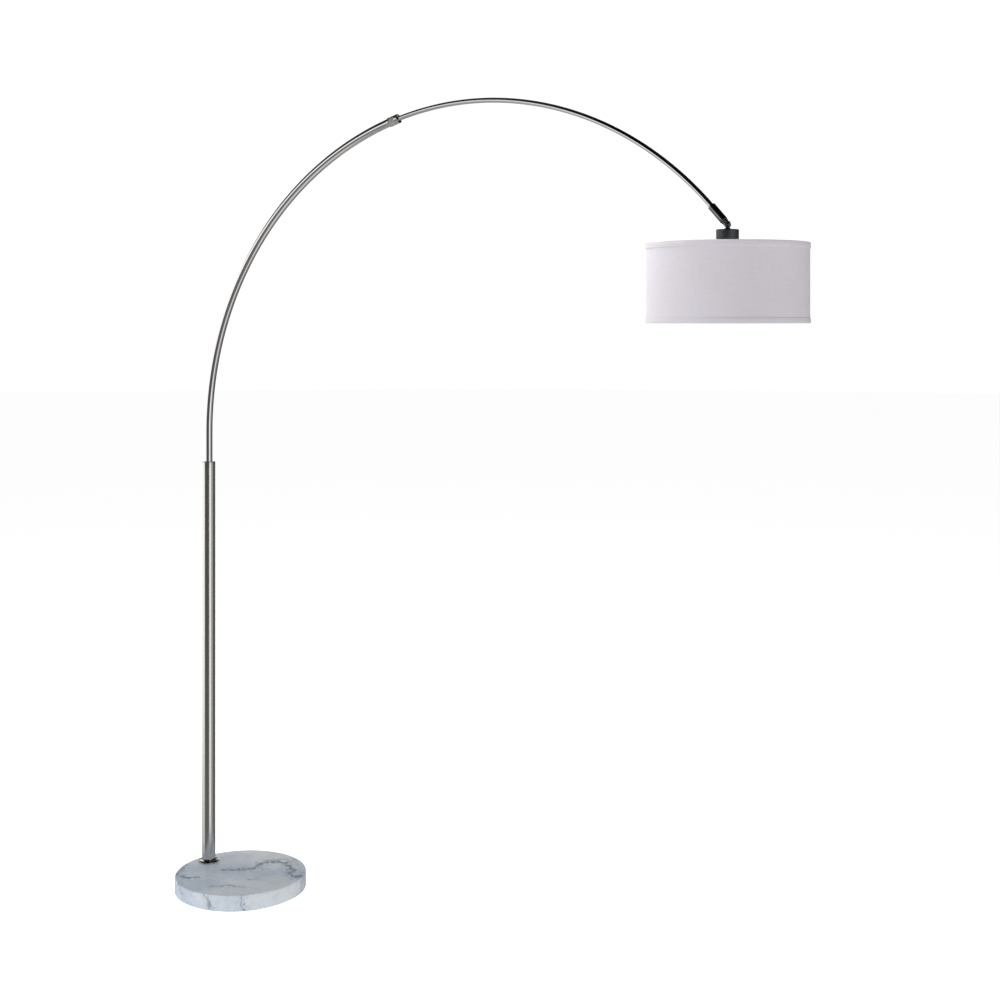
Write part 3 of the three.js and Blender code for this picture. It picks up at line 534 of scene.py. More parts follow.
# %% [markdown]
# ### Moulded, fired and felted parts
# Phenolic, nylon, rubber and porcelain share one recipe: a body colour that drifts a little, and a
# skin whose roughness and grain say what it is. Felt is matted fibre, so its noise is stretched in
# random short strokes and stands up from the surface.

# %% Make the plastics, the porcelain, the felt and the glass
def moulded(name, slot, light, dark, roughness, grain, depth, **sockets):
    material, tree, shader = finish(name, slot, **sockets)
    spot = own_place(tree)
    skin = noise(tree, spot, grain, 4.0, Roughness=0.6)
    drift = noise(tree, spot, grain / 12, 2.0)
    settled = use(tree, dust, Amount=0.15)["Mask"]
    body = blend_colour(tree, remap(tree, drift, 0.3, 0.7), dark, light)
    rough = remap(tree, skin, 0.3, 0.7, roughness - 0.06, roughness + 0.06)
    paint(tree, shader, Base_Color=blend_colour(tree, settled, body, grey(0.5)), Roughness=rough)
    raise_surface(tree, shader, skin, depth, 0.4)
    return material


phenolic = moulded("black_phenolic", "phenolic", grey(0.028), grey(0.018), 0.34, 900.0, 0.00004, IOR=1.6)
nylon = moulded("natural_nylon", "nylon", grey(0.70), grey(0.62), 0.5, 700.0, 0.00005)
rubber = moulded("black_rubber", "rubber", grey(0.035), grey(0.02), 0.72, 1100.0, 0.00008)
porcelain = moulded("glazed_porcelain", "porcelain", grey(0.78), grey(0.72), 0.16, 500.0, 0.00002, IOR=1.54)


def matted_felt():
    material, tree, shader = finish(
        "matted_felt", "felt", Roughness=0.97, Sheen_Weight=0.6, Sheen_Roughness=0.4
    )
    fibres = noise(tree, own_place(tree), 900.0, 6.0, Distortion=3.0)
    matted = blend_colour(tree, remap(tree, fibres, 0.35, 0.65), grey(0.016), grey(0.06))
    paint(tree, shader, Base_Color=matted)
    raise_surface(tree, shader, fibres, 0.0004, 0.9)
    return material


def frosted_glass():
    material, tree, shader = finish(
        "frosted_glass", "bulb_glass", IOR=1.5, Subsurface_Weight=0.3, Subsurface_Radius=(0.01, 0.01, 0.01)
    )
    frost = noise(tree, own_place(tree), 160.0, 5.0)
    milky = blend_colour(tree, remap(tree, frost, 0.3, 0.7), (0.83, 0.82, 0.79, 1), (0.88, 0.87, 0.85, 1))
    paint(tree, shader, Base_Color=milky, Roughness=remap(tree, frost, 0.3, 0.7, 0.22, 0.34))
    return material


felt = matted_felt()
frosted = frosted_glass()
print("finishes:", len(bpy.data.materials))

# %% [markdown]
# ## Shape helpers
# Nearly every part of a lamp is turned on a lathe or drawn as a tube. So the main helper takes the
# outline of one side, spins it, and lays coordinates in metres on the surface for the brushing and
# the weave. Real turned parts have no sharp corners, so outlines are given with a fillet at each one.

# %% Outlines with fillets
def filleted(corners, steps=5):
    """A closed outline from (radius, height, fillet) corners, with an arc wherever a fillet isn't 0."""
    points = []
    for index, (radius, height, fillet) in enumerate(corners):
        here = Vector((radius, height))
        before = (Vector(corners[index - 1][:2]) - here).normalized()
        after = (Vector(corners[(index + 1) % len(corners)][:2]) - here).normalized()
        if fillet == 0:
            points.append(here)
            continue
        half = before.angle(after) / 2
        middle = here + (before + after).normalized() * fillet / math.sin(half)
        first = here + before * fillet / math.tan(half) - middle
        last = here + after * fillet / math.tan(half) - middle
        start = math.atan2(first.y, first.x)
        sweep = (math.atan2(last.y, last.x) - start + math.pi) % (2 * math.pi) - math.pi
        for step in range(steps + 1):
            turn = start + sweep * step / steps
            points.append(middle + fillet * Vector((math.cos(turn), math.sin(turn))))
    return points


def divided(points, longest):
    """The same closed outline, with long sides cut so that no step is longer than that."""
    cut = []
    points = [Vector(point) for point in points]
    for here, there in zip(points, points[1:] + points[:1]):
        pieces = max(1, math.ceil((there - here).length / longest))
        cut.extend(here.lerp(there, piece / pieces) for piece in range(pieces))
    return cut


def disc(points):
    """The outline closed along the axis, for a part that is solid in the middle."""
    return [(0, points[0][1]), *points, (0, points[-1][1])]


# %% Turned parts
def turned(outline, sides, closed=True, shape=None):
    """Spins an outline about Z. shape(angle, radius, height) may change the radius, for knurls and flutes."""
    outline = [Vector(point) for point in outline]
    reference = max(point.x for point in outline)
    count = len(outline)
    spots = []
    for side in range(sides):
        angle = 2 * math.pi * side / sides
        for point in outline:
            radius = shape(angle, point.x, point.y) if shape else point.x
            spots.append((radius * math.cos(angle), radius * math.sin(angle), point.y))
    strips = count if closed else count - 1
    side, index = np.meshgrid(np.arange(sides), np.arange(strips), indexing="ij")
    far, following = (side + 1) % sides, (index + 1) % count
    corners = [side * count + index, far * count + index, far * count + following, side * count + following]
    faces = np.stack(corners, axis=-1).reshape(-1, 4)
    mesh = bpy.data.meshes.new("turning")
    mesh.from_pydata(spots, [], faces.tolist())

    steps = [(there - here).length for here, there in zip(outline, outline[1:] + outline[:1])]
    lengths = np.concatenate([[0.0], np.cumsum(steps)])
    around = np.stack([side, side + 1, side + 1, side], axis=-1) * 2 * math.pi * reference / sides
    along = np.stack([lengths[index], lengths[index], lengths[index + 1], lengths[index + 1]], axis=-1)
    metres = mesh.uv_layers.new(name="metres")
    metres.data.foreach_set("uv", np.stack([around, along], axis=-1).ravel())

    made = bmesh.new()
    made.from_mesh(mesh)
    bpy.data.meshes.remove(mesh)
    bmesh.ops.remove_doubles(made, verts=made.verts, dist=1e-6)
    bmesh.ops.recalc_face_normals(made, faces=made.faces)
    return made


# %% Flat plates
def plate(outline, thickness, middle=0.0):
    """An outline of (x, z) points made into a plate that stands across Y, its middle at the given y."""
    made = bmesh.new()
    made.loops.layers.uv.new("metres")
    corners = [made.verts.new((x, middle - thickness / 2, z)) for x, z in outline]
    face = made.faces.new(corners)
    grown = bmesh.ops.extrude_face_region(made, geom=[face])["geom"]
    lifted = [part for part in grown if isinstance(part, bmesh.types.BMVert)]
    bmesh.ops.translate(made, verts=lifted, vec=(0, thickness, 0))
    bmesh.ops.recalc_face_normals(made, faces=made.faces)
    return made


def arc_points(centre, radius, start, end, steps):
    """Points on an arc, with angles in degrees."""
    turns = [math.radians(start + (end - start) * step / steps) for step in range(steps + 1)]
    return [(centre[0] + radius * math.cos(turn), centre[1] + radius * math.sin(turn)) for turn in turns]


# %% [markdown]
# A piece takes its mesh, its finish, the body it moves with and the engineering parts it stands for.
# Some pieces get a bevel so that cut edges catch the light as real ones do.

# %% Turn a mesh into a piece of the lamp
def piece(name, made, material, body, stands_for, at=None, sharp=32, bevel=0.0):
    if at is not None:
        made.transform(at)
    mesh = bpy.data.meshes.new(name)
    made.to_mesh(mesh)
    made.free()
    mesh.polygons.foreach_set("use_smooth", [True] * len(mesh.polygons))
    mesh.set_sharp_from_angle(angle=math.radians(sharp))
    mesh.materials.append(material)
    lamp_piece = bpy.data.objects.new(name, mesh)
    bpy.context.scene.collection.objects.link(lamp_piece)
    if bevel:
        rounding = lamp_piece.modifiers.new("rounding", "BEVEL")
        rounding.width = bevel
        rounding.segments = 3
        rounding.limit_method = "ANGLE"
        rounding.harden_normals = True
    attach(lamp_piece, body)
    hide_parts(*stands_for)
    print(name, "on", body, "faces:", len(mesh.polygons))
    return lamp_piece


def lathe(name, outline, sides, material, body, node, at=None, closed=True, shape=None, sharp=32):
    """A turned piece that stands for one engineering part."""
    return piece(name, turned(outline, sides, closed, shape), material, body, [node], at=at, sharp=sharp)


def middle_of(node):
    low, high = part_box(node)
    return (low + high) / 2


def upright_at(node_or_point):
    """The placing of a part that was made about Z: over a node's middle or a point, with its own heights."""
    spot = middle_of(node_or_point) if isinstance(node_or_point, str) else node_or_point
    return Matrix.Translation((spot.x, spot.y, 0))


SIDEWAYS = Matrix.Rotation(-math.pi / 2, 4, "X")  # lays a part made about Z along Y


def joined(*parts):
    """Several meshes as one."""
    whole = bmesh.new()
    whole.loops.layers.uv.new("metres")
    for part in parts:
        mesh = bpy.data.meshes.new("joining")
        part.to_mesh(mesh)
        part.free()
        whole.from_mesh(mesh)
        bpy.data.meshes.remove(mesh)
    return whole


# %% [markdown]
# ## Marble base
# A heavy disc with a polished top, an eased upper edge and a smaller one below. Underneath it is
# hollowed for the clamp nut and grooved for the cord. The disc is turned, and the hollow and groove
# are cut with booleans, as a mason would cut them after turning.

# %% Turn the disc and cut its underside
base_low, base_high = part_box("marble_base")
BASE_RADIUS = (base_high.y - base_low.y) / 2
EASED_EDGE = 0.0035
RECESS_RADIUS = 0.030
RECESS_DEPTH = 0.024
CORD_GROOVE = 0.012
CORD_GROOVE_HEIGHT = 0.0125

edge_outline = disc(filleted([
    (0.02, base_low.z, 0), (BASE_RADIUS, base_low.z, 0.0015),
    (BASE_RADIUS, base_high.z, EASED_EDGE), (0.02, base_high.z, 0),
], 6))
stone = lathe("marble_disc", edge_outline, 224, marble, "root", "marble_base", closed=False, sharp=50)


def cutter(made):
    """A mesh object for a boolean. It is removed once it has cut."""
    mesh = bpy.data.meshes.new("cutter")
    made.to_mesh(mesh)
    made.free()
    tool = bpy.data.objects.new("cutter", mesh)
    bpy.context.scene.collection.objects.link(tool)
    return tool


def carve(target, tool):
    """Cuts the tool out of the target and applies the cut."""
    step = target.modifiers.new("cut", "BOOLEAN")
    step.operation = "DIFFERENCE"
    step.object = tool
    step.solver = "EXACT"
    bpy.context.view_layer.update()
    evaluated = target.evaluated_get(bpy.context.evaluated_depsgraph_get())
    mesh = bpy.data.meshes.new_from_object(evaluated)
    old = target.data
    target.modifiers.remove(step)
    target.data = mesh
    bpy.data.meshes.remove(old)
    bpy.data.objects.remove(tool)


recess_top = base_low.z + RECESS_DEPTH
recess = turned(disc([(RECESS_RADIUS, base_low.z - 0.01), (RECESS_RADIUS, recess_top)]), 72, closed=False)
on_pole = upright_at(pole_axis)
recess.transform(on_pole)
carve(stone, cutter(recess))

outward = math.atan2(pole_axis.y, pole_axis.x)
groove_outline = [
    (0, base_low.z - 0.01), (0.06, base_low.z - 0.01),
    (0.06, base_low.z + CORD_GROOVE_HEIGHT), (0, base_low.z + CORD_GROOVE_HEIGHT),
]
groove = plate(groove_outline, CORD_GROOVE)
groove.transform(on_pole @ Matrix.Rotation(outward, 4, "Z"))
carve(stone, cutter(groove))
print("marble after cutting:", len(stone.data.polygons), "faces")

# %% [markdown]
# Under the stone is a felt pad that keeps it off the floor. Its cut edge is slightly ragged, so the
# radius wavers by a fraction of a millimetre.

# %% Felt pad
pad_low, pad_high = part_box("base_pad")
PAD_RADIUS = (pad_high.y - pad_low.y) / 2 - 0.0004


def ragged(angle, radius, height):
    waver = (math.sin(37 * angle) + math.sin(91 * angle + 1)) / 2
    return radius + 0.0003 * waver * (radius > PAD_RADIUS * 0.9)


pad_outline = disc(filleted([
    (0.02, pad_low.z, 0), (PAD_RADIUS, pad_low.z, 0.0005),
    (PAD_RADIUS, pad_high.z, 0.0006), (0.02, pad_high.z, 0),
], 3))
pad = lathe("felt_pad", pad_outline, 240, felt, "root", "base_pad", closed=False, shape=ragged)

# %% [markdown]
# The cord leaves through a rubber bush in the rim of the stone, at the back.

# %% Cord bush
bush_place = (
    Matrix.Translation((0, 0, middle_of("cord_grommet").z))
    @ Matrix.Rotation(outward, 4, "Z")
    @ Matrix.Rotation(math.pi / 2, 4, "Y")
)
bush_outline = filleted([
    (0.0036, BASE_RADIUS - 0.012, 0.0004), (0.0056, BASE_RADIUS - 0.012, 0.0004),
    (0.0056, BASE_RADIUS + 0.0008, 0.0008), (0.0036, BASE_RADIUS + 0.0008, 0.0006),
])
lathe("cord_bush", bush_outline, 48, rubber, "root", "cord_grommet", bush_place)

# %% [markdown]
# ## Pole
# The pole stands in a dished cover plate that hides the clamp. Its rim is rolled up and catches the
# light as a thin bright ring. The tube is brushed lengthwise, and a turned bush closes its top.

# %% Cover plate at the foot
flange_low, flange_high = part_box("foot_flange")
FLANGE_RADIUS = (flange_high.x - flange_low.x) / 2
POLE_RADIUS = 0.0182
pole_low, pole_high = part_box("pole_tube")
PLATE_BORE = POLE_RADIUS + 0.0003

cover_outline = filleted([
    (PLATE_BORE, flange_low.z, 0),
    (FLANGE_RADIUS, flange_low.z, 0.0006),
    (FLANGE_RADIUS, flange_low.z + 0.0036, 0.0011),
    (FLANGE_RADIUS - 0.0026, flange_low.z + 0.0042, 0.0009),
    (FLANGE_RADIUS - 0.0044, flange_low.z + 0.0030, 0.0012),
    (PLATE_BORE + 0.0032, flange_low.z + 0.0042, 0.0018),
    (PLATE_BORE + 0.0018, flange_high.z, 0.0008),
    (PLATE_BORE, flange_high.z, 0.0003),
], 6)
lathe("pole_cover_plate", cover_outline, 120, nickel_turned, "root", "foot_flange", on_pole)

# %% Pole tube
POLE_WALL = 0.0015
tube_outline = divided(filleted([
    (POLE_RADIUS - POLE_WALL, pole_low.z, 0), (POLE_RADIUS, pole_low.z, 0.0003),
    (POLE_RADIUS, pole_high.z, 0.0003), (POLE_RADIUS - POLE_WALL, pole_high.z, 0),
], 3), 0.06)
lathe("brushed_pole", tube_outline, 96, nickel_pole, "root", "pole_tube", on_pole)

# %% Bush at the top of the pole
bush_low, bush_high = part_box("pole_top_bush")
ARM_BORE = 0.0111
SPIGOT = POLE_RADIUS - POLE_WALL - 0.0003
LIP = 0.003
top_outline = filleted([
    (ARM_BORE, bush_low.z, 0.0003), (SPIGOT, bush_low.z, 0.0004), (SPIGOT, bush_high.z - LIP, 0),
    (POLE_RADIUS, bush_high.z - LIP, 0.0003), (POLE_RADIUS, bush_high.z, 0.0009),
    (ARM_BORE, bush_high.z, 0.0005),
])
lathe("pole_top_ring", top_outline, 96, nickel_turned, "root", "pole_top_bush", on_pole)

# %% [markdown]
# A grub screw in the back of the pole sets how freely the arm swings. Its socket is a real hexagon:
# the outline's radius follows the six flats.

# %% Swivel grub screw
def hexagonal(across_flats, flat_to):
    """A shape that pulls radii under flat_to onto a hexagon."""
    def shape(angle, radius, height):
        if radius > flat_to:
            return radius
        turn = (angle + math.pi / 6) % (math.pi / 3) - math.pi / 6
        return radius * across_flats / 2 / flat_to / math.cos(turn)
    return shape


screw_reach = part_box("swivel_screw")[1].y - pole_axis.y
HEX_ACROSS = 0.0026
screw_outline = [
    (0, 0.011), (0.0024, 0.011), (0.0026, 0.0112), (0.0026, screw_reach - 0.0003), (0.0023, screw_reach),
    (0.0015, screw_reach), (0.0014, screw_reach - 0.003), (0, screw_reach - 0.0034),
]
screw_place = Matrix.Translation((pole_axis.x, pole_axis.y, middle_of("swivel_screw").z)) @ SIDEWAYS
screw = turned(screw_outline, 48, closed=False, shape=hexagonal(HEX_ACROSS, 0.0016))
piece("swivel_grub_screw", screw, zinc, "root", ["swivel_screw"], at=screw_place)

# %% [markdown]
# ## Arm
# Both arm tubes are made straight, as long thin lathe parts, and then bent: each point's height
# becomes a distance along the arm. That keeps the tube's wall, its rounded ends and the brushing even.

# %% Bend along the arm
def on_arm(across, side, distance, last_angle):
    """A point beside the arm's centre line. The arm is straight below the arc and past last_angle."""
    on_arc = min(max(distance, 0), ARC_RADIUS * last_angle)
    angle = on_arc / ARC_RADIUS
    along = Vector((math.sin(angle), 0, math.cos(angle)))
    inward = Vector((math.cos(angle), 0, -math.sin(angle)))
    spine = arc_centre - inward * ARC_RADIUS + along * (distance - on_arc)
    return spine + inward * across + Vector((0, side, 0))


def bent(made, last_angle):
    for vertex in made.verts:
        vertex.co = on_arm(*vertex.co, last_angle)
    return made


def arm_tube(radius, wall, start, end, sides, longest):
    outline = filleted([
        (radius - wall, start, 0.0003), (radius, start, 0.0004),
        (radius, end, 0.0005), (radius - wall, end, 0.0004),
    ], 3)
    return turned(divided(outline, longest), sides)


def station(angle):
    """The placing of a part whose Z runs along the arm, at an angle on the arc."""
    return Matrix.Translation(on_arm(0, 0, ARC_RADIUS * angle, angle)) @ Matrix.Rotation(angle, 4, "Y")


# %% Lower arm tube
LOWER_RADIUS = 0.0106
LOWER_WALL = 0.0013
TUBE_IN_COLLAR = math.radians(1.2)
LOWER_END_ANGLE = COLLAR_ANGLE + TUBE_IN_COLLAR
lower_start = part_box("lower_arc_tube")[0].z - arc_centre.z

lower = arm_tube(LOWER_RADIUS, LOWER_WALL, lower_start, ARC_RADIUS * LOWER_END_ANGLE, 64, 0.008)
piece("lower_arm_tube", bent(lower, math.pi), nickel_arm, "lower_arm", ["lower_arc_tube"])

# %% Upper arm tube
UPPER_RADIUS = 0.00635
UPPER_WALL = 0.0012
UPPER_START_ANGLE = math.radians(60.5)
TUBE_IN_SLEEVE = 0.030

upper_end = ARC_RADIUS * ARC_END_ANGLE + TUBE_IN_SLEEVE
upper = arm_tube(UPPER_RADIUS, UPPER_WALL, ARC_RADIUS * UPPER_START_ANGLE, upper_end, 48, 0.008)
piece("upper_arm_tube", bent(upper, ARC_END_ANGLE), nickel_arm, "upper_arm", ["upper_arc_tube"])

# %% [markdown]
# ### Twist collar
# Twisting this ring grips the upper tube. It has a diamond knurl so that fingers hold it, with plain
# bands at both ends. The knurl is real relief: two sets of crossing waves, at a pitch of 1.7 mm, cut
# the radius down.

# %% Knurled collar
COLLAR_RADIUS = 0.0122
COLLAR_LENGTH = 0.031
KNURL_START = 0.0045
KNURL_END = 0.0225
KNURL_DEPTH = 0.00045
KNURL_TEETH = 44
FINE_STEP = 0.00025
PLAIN_STEP = 0.01


def knurl(angle, radius, height):
    if radius < COLLAR_RADIUS - 1e-5 or not KNURL_START < height < KNURL_END:
        return radius
    lean = height * KNURL_TEETH / COLLAR_RADIUS / 2
    turn = angle * KNURL_TEETH / 2
    crossing = abs(math.sin(turn + lean)) * abs(math.sin(turn - lean))
    fade = min(1.0, (height - KNURL_START) / 0.0006, (KNURL_END - height) / 0.0006)
    return radius - KNURL_DEPTH * (1 - crossing) * fade


wall_foot = ARC_RADIUS * TUBE_IN_COLLAR + 0.0029
collar_outline = filleted([
    (LOWER_RADIUS + 0.0005, 0, 0.0003), (COLLAR_RADIUS, 0, 0.0008), (COLLAR_RADIUS, COLLAR_LENGTH, 0.0009),
    (COLLAR_RADIUS - 0.0024, COLLAR_LENGTH, 0.0006), (UPPER_RADIUS + 0.0012, COLLAR_LENGTH - 0.005, 0.0008),
    (UPPER_RADIUS + 0.0012, wall_foot, 0.0003), (LOWER_RADIUS + 0.0005, wall_foot, 0),
])
fine_outline = []
for here, there in zip(collar_outline, collar_outline[1:] + collar_outline[:1]):
    outer = here.x > COLLAR_RADIUS - 1e-5 and there.x > COLLAR_RADIUS - 1e-5
    pieces = max(1, math.ceil((there - here).length / (FINE_STEP if outer else PLAIN_STEP)))
    fine_outline.extend(here.lerp(there, step / pieces) for step in range(pieces))
collar = turned(fine_outline, KNURL_TEETH * 8, shape=knurl)
piece("knurled_collar", collar, nickel_turned, "collar", ["lock_collar"], at=station(COLLAR_ANGLE), sharp=50)

# %% [markdown]
# ### End sleeve
# A dark sleeve caps the upper tube and holds the knuckle. A slotted screw under it stops it turning.

# %% End sleeve and its screw
SLEEVE_RADIUS = 0.00925
SLEEVE_LENGTH = 0.047
SHANK_RADIUS = 0.0045
sleeve_outline = filleted([
    (UPPER_RADIUS + 0.0003, 0, 0.0003), (SLEEVE_RADIUS, 0, 0.0014),
    (SLEEVE_RADIUS, SLEEVE_LENGTH, 0.0022), (SHANK_RADIUS + 0.0003, SLEEVE_LENGTH, 0.0003),
    (SHANK_RADIUS + 0.0003, TUBE_IN_SLEEVE + 0.001, 0), (UPPER_RADIUS + 0.0003, TUBE_IN_SLEEVE + 0.001, 0),
], 6)
sleeve_place = station(ARC_END_ANGLE)
sleeve = divided(sleeve_outline, 0.006)
lathe("dark_end_sleeve", sleeve, 72, gunmetal, "upper_arm", "end_sleeve", sleeve_place)

SLEEVE_SCREW_ALONG = 0.012
screw_in_sleeve = sleeve_place @ Matrix.Translation((0, 0, SLEEVE_SCREW_ALONG)) @ SIDEWAYS
sleeve_top = SLEEVE_RADIUS - 0.0003
sleeve_screw_outline = [
    (0, UPPER_RADIUS + 0.0003), (0.0015, UPPER_RADIUS + 0.0003), (0.0016, sleeve_top - 0.0003),
    (0.0014, sleeve_top), (0.0009, sleeve_top), (0.0008, sleeve_top - 0.0012), (0, sleeve_top - 0.0014),
]
sleeve_screw = turned(sleeve_screw_outline, 36, closed=False, shape=hexagonal(0.0016, 0.001))
piece("sleeve_grub_screw", sleeve_screw, zinc, "upper_arm", ["sleeve_screw"], at=screw_in_sleeve)

# %% [markdown]
# ## Tilt knuckle
# Two ears hold an eye between nylon washers, on a bolt with a wing nut. The ears and the eye are
# plates with a bevelled edge, on turned shoulders.

# %% Fork
FORK_FOOT = SLEEVE_LENGTH + 0.0003
LUG_RADIUS = 0.006
EAR_INSIDE = 0.0038
EAR_THICKNESS = 0.0032

ear_outline = [(-LUG_RADIUS, FORK_FOOT + 0.002), (LUG_RADIUS, FORK_FOOT + 0.002)]
ear_outline += arc_points((0, PIVOT_REACH), LUG_RADIUS, 0, 180, 28)
shoulder_outline = filleted([
    (0.002, TUBE_IN_SLEEVE + 0.004, 0), (SHANK_RADIUS, TUBE_IN_SLEEVE + 0.004, 0.0003),
    (SHANK_RADIUS, FORK_FOOT, 0), (0.0082, FORK_FOOT, 0.0003),
    (0.0082, FORK_FOOT + 0.003, 0.0012), (0.002, FORK_FOOT + 0.003, 0),
], 5)
lathe("knuckle_shoulder", shoulder_outline, 64, gunmetal, "upper_arm", "knuckle_fork", sleeve_place)
for side_name, side in (("near", -1), ("far", 1)):
    ear = plate(ear_outline, EAR_THICKNESS, side * (EAR_INSIDE + EAR_THICKNESS / 2))
    ear_name = "knuckle_ear_" + side_name
    piece(ear_name, ear, gunmetal, "upper_arm", ["knuckle_fork"], at=sleeve_place, bevel=0.0006)

# %% Bolt, washers and wing nut
BOLT_RADIUS = 0.0024
ear_outside = EAR_INSIDE + EAR_THICKNESS
washer_outside = ear_outside + 0.0013
nut_inside = washer_outside + 0.0003
bolt_tip = nut_inside + 0.0055
across_pivot = Matrix.Translation(pivot) @ SIDEWAYS
bolt_head = -ear_outside - 0.0003

bolt_outline = [
    (0, bolt_head - 0.0018), (0.0016, bolt_head - 0.0017), (0.00165, bolt_head - 0.0034),
    (0.0034, bolt_head - 0.0034), (0.0042, bolt_head - 0.0031), (0.0047, bolt_head - 0.0024),
    (0.0048, bolt_head - 0.0003), (0.0046, bolt_head), (BOLT_RADIUS, bolt_head),
    (BOLT_RADIUS, bolt_tip - 0.0005), (BOLT_RADIUS - 0.0005, bolt_tip), (0, bolt_tip),
]
bolt = turned(bolt_outline, 48, closed=False, shape=hexagonal(0.003, 0.0017))
piece("tilt_bolt", bolt, gunmetal, "upper_arm", ["pivot_bolt"], at=across_pivot)


def washer(outer, inner, foot, top, edge=0.0002):
    corners = [(inner, foot), (outer, foot), (outer, top), (inner, top)]
    return turned(filleted([(*corner, edge) for corner in corners], 3), 48)


for side_name, foot in (("near", -0.0035), ("far", 0.0027)):
    ring = washer(0.0054, BOLT_RADIUS + 0.0004, foot, foot + 0.0008)
    node = "friction_washer_" + side_name
    piece("nylon_washer_" + side_name, ring, nylon, "upper_arm", [node], at=across_pivot)
steel_ring = washer(0.0056, BOLT_RADIUS + 0.0003, ear_outside + 0.0003, washer_outside)
piece("steel_washer", steel_ring, zinc, "upper_arm", ["nut_washer"], at=across_pivot)

# %% [markdown]
# The wing nut is a small casting: a waisted barrel with two wings. The wings are flat plates, and a
# bevel modifier rounds their edges as casting does.

# %% Wing nut
barrel_outline = filleted([
    (BOLT_RADIUS + 0.0002, nut_inside, 0.0002), (0.0044, nut_inside, 0.0005),
    (0.0038, nut_inside + 0.0048, 0.0006), (BOLT_RADIUS + 0.0002, nut_inside + 0.0048, 0.0002),
])
wing_outline = [
    (0.0026, nut_inside + 0.0008), (0.0052, nut_inside + 0.0014), (0.0078, nut_inside + 0.0026),
    (0.0092, nut_inside + 0.0046), (0.0093, nut_inside + 0.0066), (0.0082, nut_inside + 0.0078),
    (0.0066, nut_inside + 0.0072), (0.0052, nut_inside + 0.0054), (0.0040, nut_inside + 0.0046),
    (0.0026, nut_inside + 0.0044),
]
wings = [plate(wing_outline, 0.0019), plate(wing_outline, 0.0019)]
for wing, turn in zip(wings, (math.pi / 2, -math.pi / 2)):
    wing.transform(Matrix.Rotation(turn, 4, "Z"))
lathe("wing_nut_barrel", barrel_outline, 48, cast_zinc, "wing_nut", "tilt_wing_nut", across_pivot)
both = joined(*wings)
piece("wing_nut_wings", both, cast_zinc, "wing_nut", ["tilt_wing_nut"], at=across_pivot, bevel=0.0006)

# %% [markdown]
# ## Head
# Below the knuckle hang the eye, the dark socket cap and the lampholder. All are turned about the
# head's own upright axis, except the flat eye.

# %% Eye and stem
cap_low, cap_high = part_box("socket_cap")
head_place = upright_at(pivot)
seat = cap_high.z + 0.0003
NIPPLE_RADIUS = 0.0048
EYE_RADIUS = 0.0054
stem_outline = disc(filleted([
    (0.0026, cap_high.z - 0.014, 0), (NIPPLE_RADIUS, cap_high.z - 0.014, 0.0004), (NIPPLE_RADIUS, seat, 0),
    (0.008, seat, 0.0004), (0.0072, seat + 0.0014, 0.0006), (0.0042, seat + 0.0036, 0.0012),
    (0.0024, seat + 0.0056, 0),
], 5))
lathe("knuckle_stem", stem_outline, 56, gunmetal, "head", "knuckle_eye", head_place, closed=False)
eye_outline = [(-0.0026, seat + 0.003), (0.0026, seat + 0.003), (0.0044, pivot.z - 0.0032)]
eye_outline += arc_points((0, pivot.z), EYE_RADIUS, -35, 215, 30)
eye_outline += [(-0.0044, pivot.z - 0.0032)]
eye_plate = plate(eye_outline, 0.0048)
piece("knuckle_eye_plate", eye_plate, gunmetal, "head", ["knuckle_eye"], at=head_place, bevel=0.0005)

# %% Socket cap
CAP_RADIUS = (cap_high.x - cap_low.x) / 2
CAP_WALL = 0.0013
cap_outline = filleted([
    (NIPPLE_RADIUS + 0.0003, cap_high.z, 0.0003), (NIPPLE_RADIUS + 0.0003, cap_high.z - 0.0018, 0),
    (CAP_RADIUS - CAP_WALL, cap_high.z - 0.0018, 0.0008), (CAP_RADIUS - CAP_WALL, cap_low.z, 0.0003),
    (CAP_RADIUS, cap_low.z, 0.0004), (CAP_RADIUS, cap_high.z, 0.0017),
], 6)
cap_outline = divided(cap_outline, 0.006)
lathe("dark_socket_cap", cap_outline, 128, satin_gunmetal, "head", "socket_cap", head_place)

# %% [markdown]
# ### Lampholder
# A black phenolic body with a ribbed ring nut, a brass shell on a porcelain disc and a sprung centre
# contact. The ring nut's ribs are cut into its radius, as a finger grip.

# %% Lampholder, ring nut and inner parts
holder_low, holder_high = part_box("lampholder_body")
HOLDER_RADIUS = 0.019
HOLDER_INSIDE = 0.0164
holder_outline = divided(filleted([
    (0.0031, holder_high.z - 0.007, 0), (HOLDER_INSIDE, holder_high.z - 0.009, 0.001),
    (HOLDER_INSIDE, holder_low.z, 0.0006), (HOLDER_RADIUS, holder_low.z, 0.0008),
    (HOLDER_RADIUS, holder_high.z - 0.005, 0.002), (HOLDER_RADIUS - 0.006, holder_high.z, 0.0015),
    (0.0031, holder_high.z, 0.0005),
]), 0.01)
lathe("phenolic_lampholder", holder_outline, 80, phenolic, "head", "lampholder_body", head_place)

nut_low, nut_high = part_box("shade_ring_nut")


def ribbed(angle, radius, height):
    outer = radius > 0.0235 and height < nut_high.z - 0.0018
    return radius - 0.0007 * (0.5 - 0.5 * math.cos(30 * angle)) * outer


ring_nut_outline = divided(filleted([
    (HOLDER_RADIUS + 0.0003, nut_low.z, 0.0004), (0.025, nut_low.z, 0.0008),
    (0.025, nut_high.z - 0.0014, 0.0004), (0.028, nut_high.z - 0.0012, 0.0004),
    (0.028, nut_high.z, 0.0004), (HOLDER_RADIUS + 0.0003, nut_high.z, 0.0003),
], 4), 0.001)
ring_nut = turned(ring_nut_outline, 240, shape=ribbed)
piece("ribbed_ring_nut", ring_nut, phenolic, "head", ["shade_ring_nut"], at=head_place)

shell_low, shell_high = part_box("lampholder_shell")


